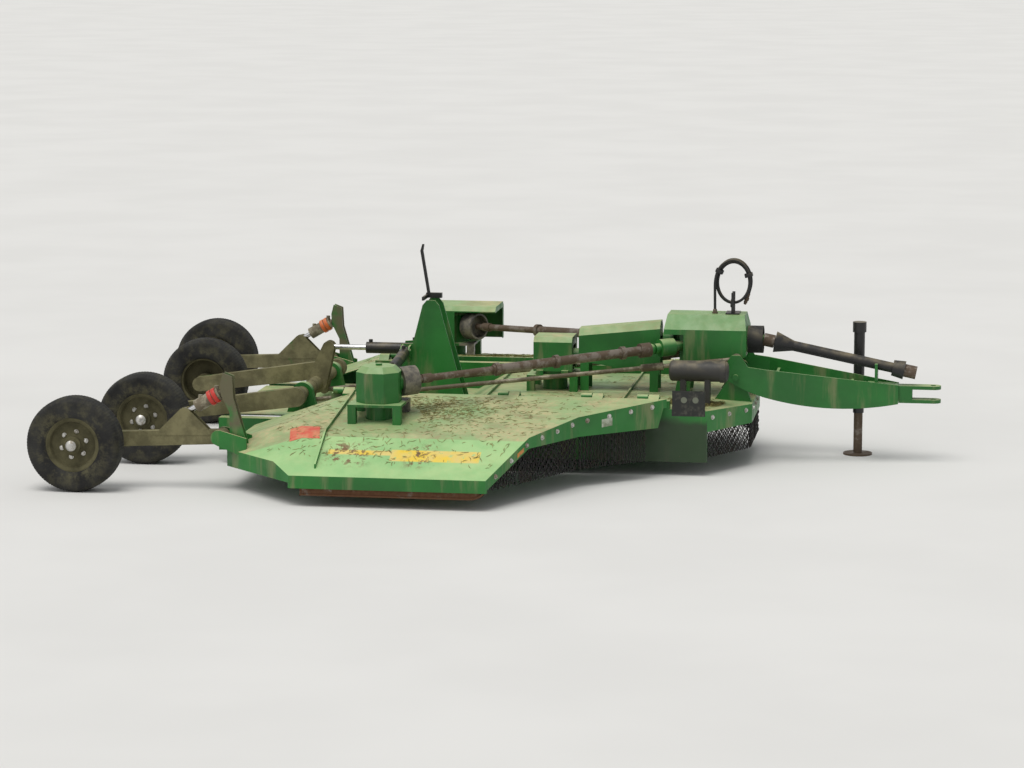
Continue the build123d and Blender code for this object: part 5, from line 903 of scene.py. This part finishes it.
# Blank plates on the front band
class MOWER_OT_plates(Step, bpy.types.Operator):
    """Put a pale blank plate and a small blank strip on each wing's front band"""

    bl_idname = "mower.plates"
    bl_label = "Blank plates"

    def build(self, sizes, colours):
        pale = two_tone("blank_plate", (0.46, 0.50, 0.40), (0.22, 0.26, 0.17),
                        (25.0, 6, 0.40, 0.62), (300.0, 2, 0.0006), 0.55)
        amber = two_tone("blank_strip", (0.62, 0.24, 0.035), (0.30, 0.16, 0.06),
                         (30.0, 5, 0.40, 0.66), (350.0, 2, 0.0006), 0.4)
        for side, sign in SIDES:
            for name, edge, at, half, down, material in (
                ("plate", WING_FRONT[:2], 0.68, 0.036, (0.040, 0.085), pale),
                ("strip", WING_FRONT[1:], 0.63, 0.030, (0.026, 0.050), amber),
            ):
                start, end = np.array(edge[0]), np.array(edge[1])
                length = np.linalg.norm(end - start)
                ends = start + (end - start) * (at + np.array((-half, half)) / length)[:, None]
                roof = wing_roof(ends[:, 0], ends[:, 1])
                corners = [(ends[i, 0], sign * ends[i, 1], roof[i] - down[j])
                           for i, j in ((0, 0), (1, 0), (1, 1), (0, 1))]
                out = (end - start)[::-1] / length * (1, -1)
                piece = patch_plate("band_%s_%s" % (name, side), corners, 0.0010,
                                    out=(out[0], sign * out[1], 0.0))
                fit(piece, material, "wing_" + side)


# Hub nuts, collars on the cylinders, and the caps of the document tube
class MOWER_OT_fittings(Step, bpy.types.Operator):
    """Turn the small round fittings"""

    bl_idname = "mower.fittings"
    bl_label = "Hub nuts, collars and caps"

    def build(self, sizes, colours):
        silver = weathered_steel("hub_nut_silver", (0.58, 0.57, 0.54), (0.30, 0.27, 0.22), 0.2, 0.8, 0.35)
        red = dark_plastic("collar_red", colours, base=(0.520, 0.030, 0.020), roughness=0.45)
        orange = dark_plastic("collar_orange", colours, base=(0.600, 0.130, 0.030), roughness=0.45)
        for side, sign in SIDES:
            mirror = np.array((1, sign, 1))
            for where in ("centre_" + side, "wing_" + side):
                low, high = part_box("rim_" + where)
                tyre_low, tyre_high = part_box("tyre_" + where)
                middle = (tyre_low + tyre_high) / 2
                face = high.y if sign > 0 else low.y
                cap = turned("hub_cap_" + where, (middle.x, face - sign * 0.004, middle.z), (0, sign, 0), (
                    (0, 0), (0, 0.029), (0.006, 0.030), (0.010, 0.026), (0.016, 0.019), (0.019, 0.010),
                    (0.020, 0)), 28)
                turn = np.arange(6) * TAU / 6 + 0.3
                depth = self.disc_face("rim_" + where, middle, sign)
                places = np.column_stack([middle.x + LUG_CIRCLE * np.cos(turn), np.full(6, depth),
                                          middle.z + LUG_CIRCLE * np.sin(turn)])
                ways = np.tile((0.0, float(sign), 0.0), (6, 1))
                nuts = bolt_heads("lug_nuts_" + where, places, ways, 0.0095)
                for piece in (cap, nuts):
                    fit(piece, silver, "wheel_" + where)
            anchor = mirror * WING_LIFT_ANCHOR
            way = unit(mirror * WING_LIFT_EYE - anchor)
            for index, at in enumerate((0.052, 0.080)):
                collar = turned("stop_collar_%s_%d" % (side, index + 1), anchor + way * at, way, (
                    (0, 0.0362), (0, 0.0425), (0.003, 0.0440), (0.019, 0.0440), (0.022, 0.0425),
                    (0.022, 0.0362), (0, 0.0362)), 28)
                fit(collar, red if side == "right" else orange, "wing_lift_barrel_" + side)
        low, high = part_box("manual_tube")
        y, z = (low.y + high.y) / 2, high.z - 0.065
        for name, x, way in (("rear", low.x + 0.002, -1), ("front", high.x - 0.002, 1)):
            cap = turned("tube_cap_" + name, (x, y, z), (way, 0, 0), (
                (0, 0), (0, 0.058), (0.004, 0.0575), (0.010, 0.054), (0.015, 0.046), (0.018, 0.030),
                (0.019, 0)), 32)
            fit(cap, frame["nodes"]["manual_tube"].material_slots[0].material, "frame")

    def disc_face(self, node, middle, sign):
        """Where a line along the axle, as far out as the nuts, meets the rim from outside."""
        start = Vector((middle.x + LUG_CIRCLE, middle.y + sign * 0.3, middle.z))
        hit, place, _, _ = frame["nodes"][node].ray_cast(start, Vector((0, -sign, 0)))
        if not hit:
            raise RuntimeError("no disc found on " + node)
        return place.y


# Clippings
def cut_grass(name, x, y, roof, lengths, turn, lift, bend):
    """Blades of cut grass that follow a roof.

    With s from -1 to 1 along a blade and a over three corners, a point is its middle + s * L/2 along its
    turn, shifted aside by bend * s^2 * L, and widened by w * (1 - s^2) to the corner a. Its height is the
    roof's + lift."""
    s = np.linspace(-1.0, 1.0, 5)
    a = np.arange(3) * TAU / 3 + 0.5
    wide = 0.0019 * (1.001 - s ** 2)
    along = s * lengths[:, None] / 2
    aside = bend[:, None] * s ** 2 * lengths[:, None]
    c, d = np.cos(turn)[:, None, None], np.sin(turn)[:, None, None]
    across = aside[..., None] + wide[:, None] * np.cos(a)
    px = x[:, None, None] + c * along[..., None] - d * across
    py = y[:, None, None] + d * along[..., None] + c * across
    rise = lift[:, None, None] * (1.0 - 0.7 * (s ** 2)[:, None])
    pz = roof(px, py) + 0.0012 + rise + (wide[:, None] * 0.6 * np.sin(a))
    shapes = np.stack([px, py, pz], axis=-1).reshape(len(x), -1, 3)
    return copies_mesh(name, shapes, grid_faces(5, 3, wrap_columns=True))


class MOWER_OT_clippings(Step, bpy.types.Operator):
    """Scatter cut grass on the decks, thickest round the document tube and behind the gearboxes"""

    bl_idname = "mower.clippings"
    bl_label = "Clippings"

    def build(self, sizes, colours):
        colour = tuple(colours.straw)
        straw = two_tone("cut_grass", colour, scaled(colour, 0.45),
                         (55.0, 2, 0.35, 0.65), (700.0, 1, 0.0004), 0.9, 0.2)
        chance = np.random.default_rng(7)
        for side, sign in SIDES:
            count = sizes.blade_count
            heap = chance.random(count) < 0.55
            x = np.where(heap, chance.normal(-0.30, 0.22, count), chance.uniform(-1.15, 0.60, count))
            y = np.where(heap, chance.normal(1.02, 0.16, count), chance.uniform(0.80, 1.80, count))
            edge_x, edge_y = np.transpose(WING_FRONT)
            front = np.interp(y, edge_y, edge_x)
            rear = np.maximum(-1.36, y - 2.80)
            keep = (x < front - 0.04) & (x > rear + 0.04) & (y > 0.79) & (y < 1.86)
            keep &= np.hypot(x - WING_GEARBOX[0], y - WING_GEARBOX[1]) > 0.24
            self.lay("clippings_" + side, x[keep], sign * y[keep], wing_roof, "wing_" + side, chance, straw,
                     0.003)
        count = sizes.blade_count
        heap = chance.random(count) < 0.75
        x = np.where(heap, chance.uniform(0.94, 1.28, count), chance.uniform(-0.05, 1.30, count))
        y = np.where(heap, chance.normal(-0.44, 0.055, count), chance.uniform(-0.62, 0.62, count))
        keep = (np.abs(y) > 0.235) & (np.abs(y) < 0.655) & (x < 1.36 - np.abs(y) * 0.25)
        self.lay("clippings_nose", x[keep], y[keep], deck_roof, "frame", chance, straw, 0.016)

    def lay(self, name, x, y, roof, body, chance, material, depth):
        count = len(x)
        lengths = chance.uniform(0.3, 1.0, count) * bpy.context.scene.mower_sizes.blade_length
        piece = cut_grass(name, x, y, roof, lengths, chance.uniform(0, TAU, count),
                          depth * chance.random(count) ** 2, chance.normal(0, 0.12, count))
        fit(piece, material, body)


# Floor, lights and camera
FLOOR_REACH = 220.0
SKY, SKY_STRENGTH = (0.98, 0.99, 1.0, 1.0), 0.50
SUN = (1.0, 0.975, 0.93)
LAMPS = (("key", (-1.2, -2.6, 9.0), 40.0, 1.75), ("side", (-6.0, -5.0, 5.0), 60.0, 0.35))
LIT = Vector((0.0, 0.0, 0.4))
EYE, SEEN, LENS = Vector((2.804, -18.305, 3.289)), Vector((-0.03, 0.0, 0.40)), 111.0


def aim(thing, place, target):
    """Put a lamp or the camera at a place and turn it to a target."""
    thing.location = place
    thing.rotation_euler = (target - place).to_track_quat("-Z", "Y").to_euler()


class MOWER_OT_stage(Step, bpy.types.Operator):
    """Set the pale floor, the soft lights and the camera at the photograph's viewpoint"""

    bl_idname = "mower.stage"
    bl_label = "Stage"

    def build(self, sizes, colours):
        scene = bpy.context.scene
        mesh = bpy.data.meshes.new("floor")
        corners = [(x * FLOOR_REACH, y * FLOOR_REACH, 0) for x, y in ((-1, -1), (1, -1), (1, 1), (-1, 1))]
        mesh.from_pydata(corners, [], [(0, 1, 2, 3)])
        pale = Finish("floor_pale", roughness=1.0, specular=0.0)
        pale.colour(pale.mix(pale.patches(0.6, 3, 0.3, 0.7), (0.70, 0.70, 0.69), (0.73, 0.73, 0.72)))
        mesh.materials.append(pale.material)
        floor = linked("floor", mesh)
        world = bpy.data.worlds.new("studio")
        world.use_nodes = True
        world.node_tree.nodes["Background"].inputs["Color"].default_value = SKY
        world.node_tree.nodes["Background"].inputs["Strength"].default_value = SKY_STRENGTH
        scene.world = world
        for name, place, size, power in LAMPS:
            lamp = bpy.data.lights.new(name, "SUN")
            lamp.angle = math.radians(size)
            lamp.energy = power
            lamp.color = SUN
            aim(linked(name, lamp), Vector(place), LIT)
        camera = bpy.data.cameras.new("photo_view")
        camera.sensor_width = 36.0
        camera.lens = LENS
        camera.clip_end = 600.0
        scene.camera = linked("photo_view", camera)
        aim(scene.camera, EYE, SEEN)
        scene.view_settings.view_transform = "Standard"


class MOWER_PT_panel(bpy.types.Panel):
    """The machine's pieces, in the order that they are made"""

    bl_idname = "MOWER_PT_panel"
    bl_label = "Mower"
    bl_space_type = "VIEW_3D"
    bl_region_type = "UI"
    bl_category = "Mower"

    def draw(self, context):
        for group in (context.scene.mower_colours, context.scene.mower_sizes):
            for name in group.__annotations__:
                self.layout.prop(group, name)
        for step in STEPS:
            self.layout.operator(step.bl_idname)


STEPS = (
    MOWER_OT_stage,
    MOWER_OT_finishes,
    MOWER_OT_hose_coil,
    MOWER_OT_tyres,
    MOWER_OT_chains,
    MOWER_OT_bolts,
    MOWER_OT_reflectors,
    MOWER_OT_plates,
    MOWER_OT_fittings,
    MOWER_OT_clippings,
)
CLASSES = (MowerColours, MowerSizes, *STEPS, MOWER_PT_panel)


def register():
    for kind in CLASSES:
        bpy.utils.register_class(kind)
    bpy.types.Scene.mower_colours = bpy.props.PointerProperty(type=MowerColours)
    bpy.types.Scene.mower_sizes = bpy.props.PointerProperty(type=MowerSizes)


def unregister():
    del bpy.types.Scene.mower_sizes
    del bpy.types.Scene.mower_colours
    for kind in reversed(CLASSES):
        bpy.utils.unregister_class(kind)


def main():
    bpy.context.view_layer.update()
    register()
    for step in STEPS:
        group, action = step.bl_idname.split(".")
        getattr(getattr(bpy.ops, group), action)()


if __name__ == "__main__":
    main()
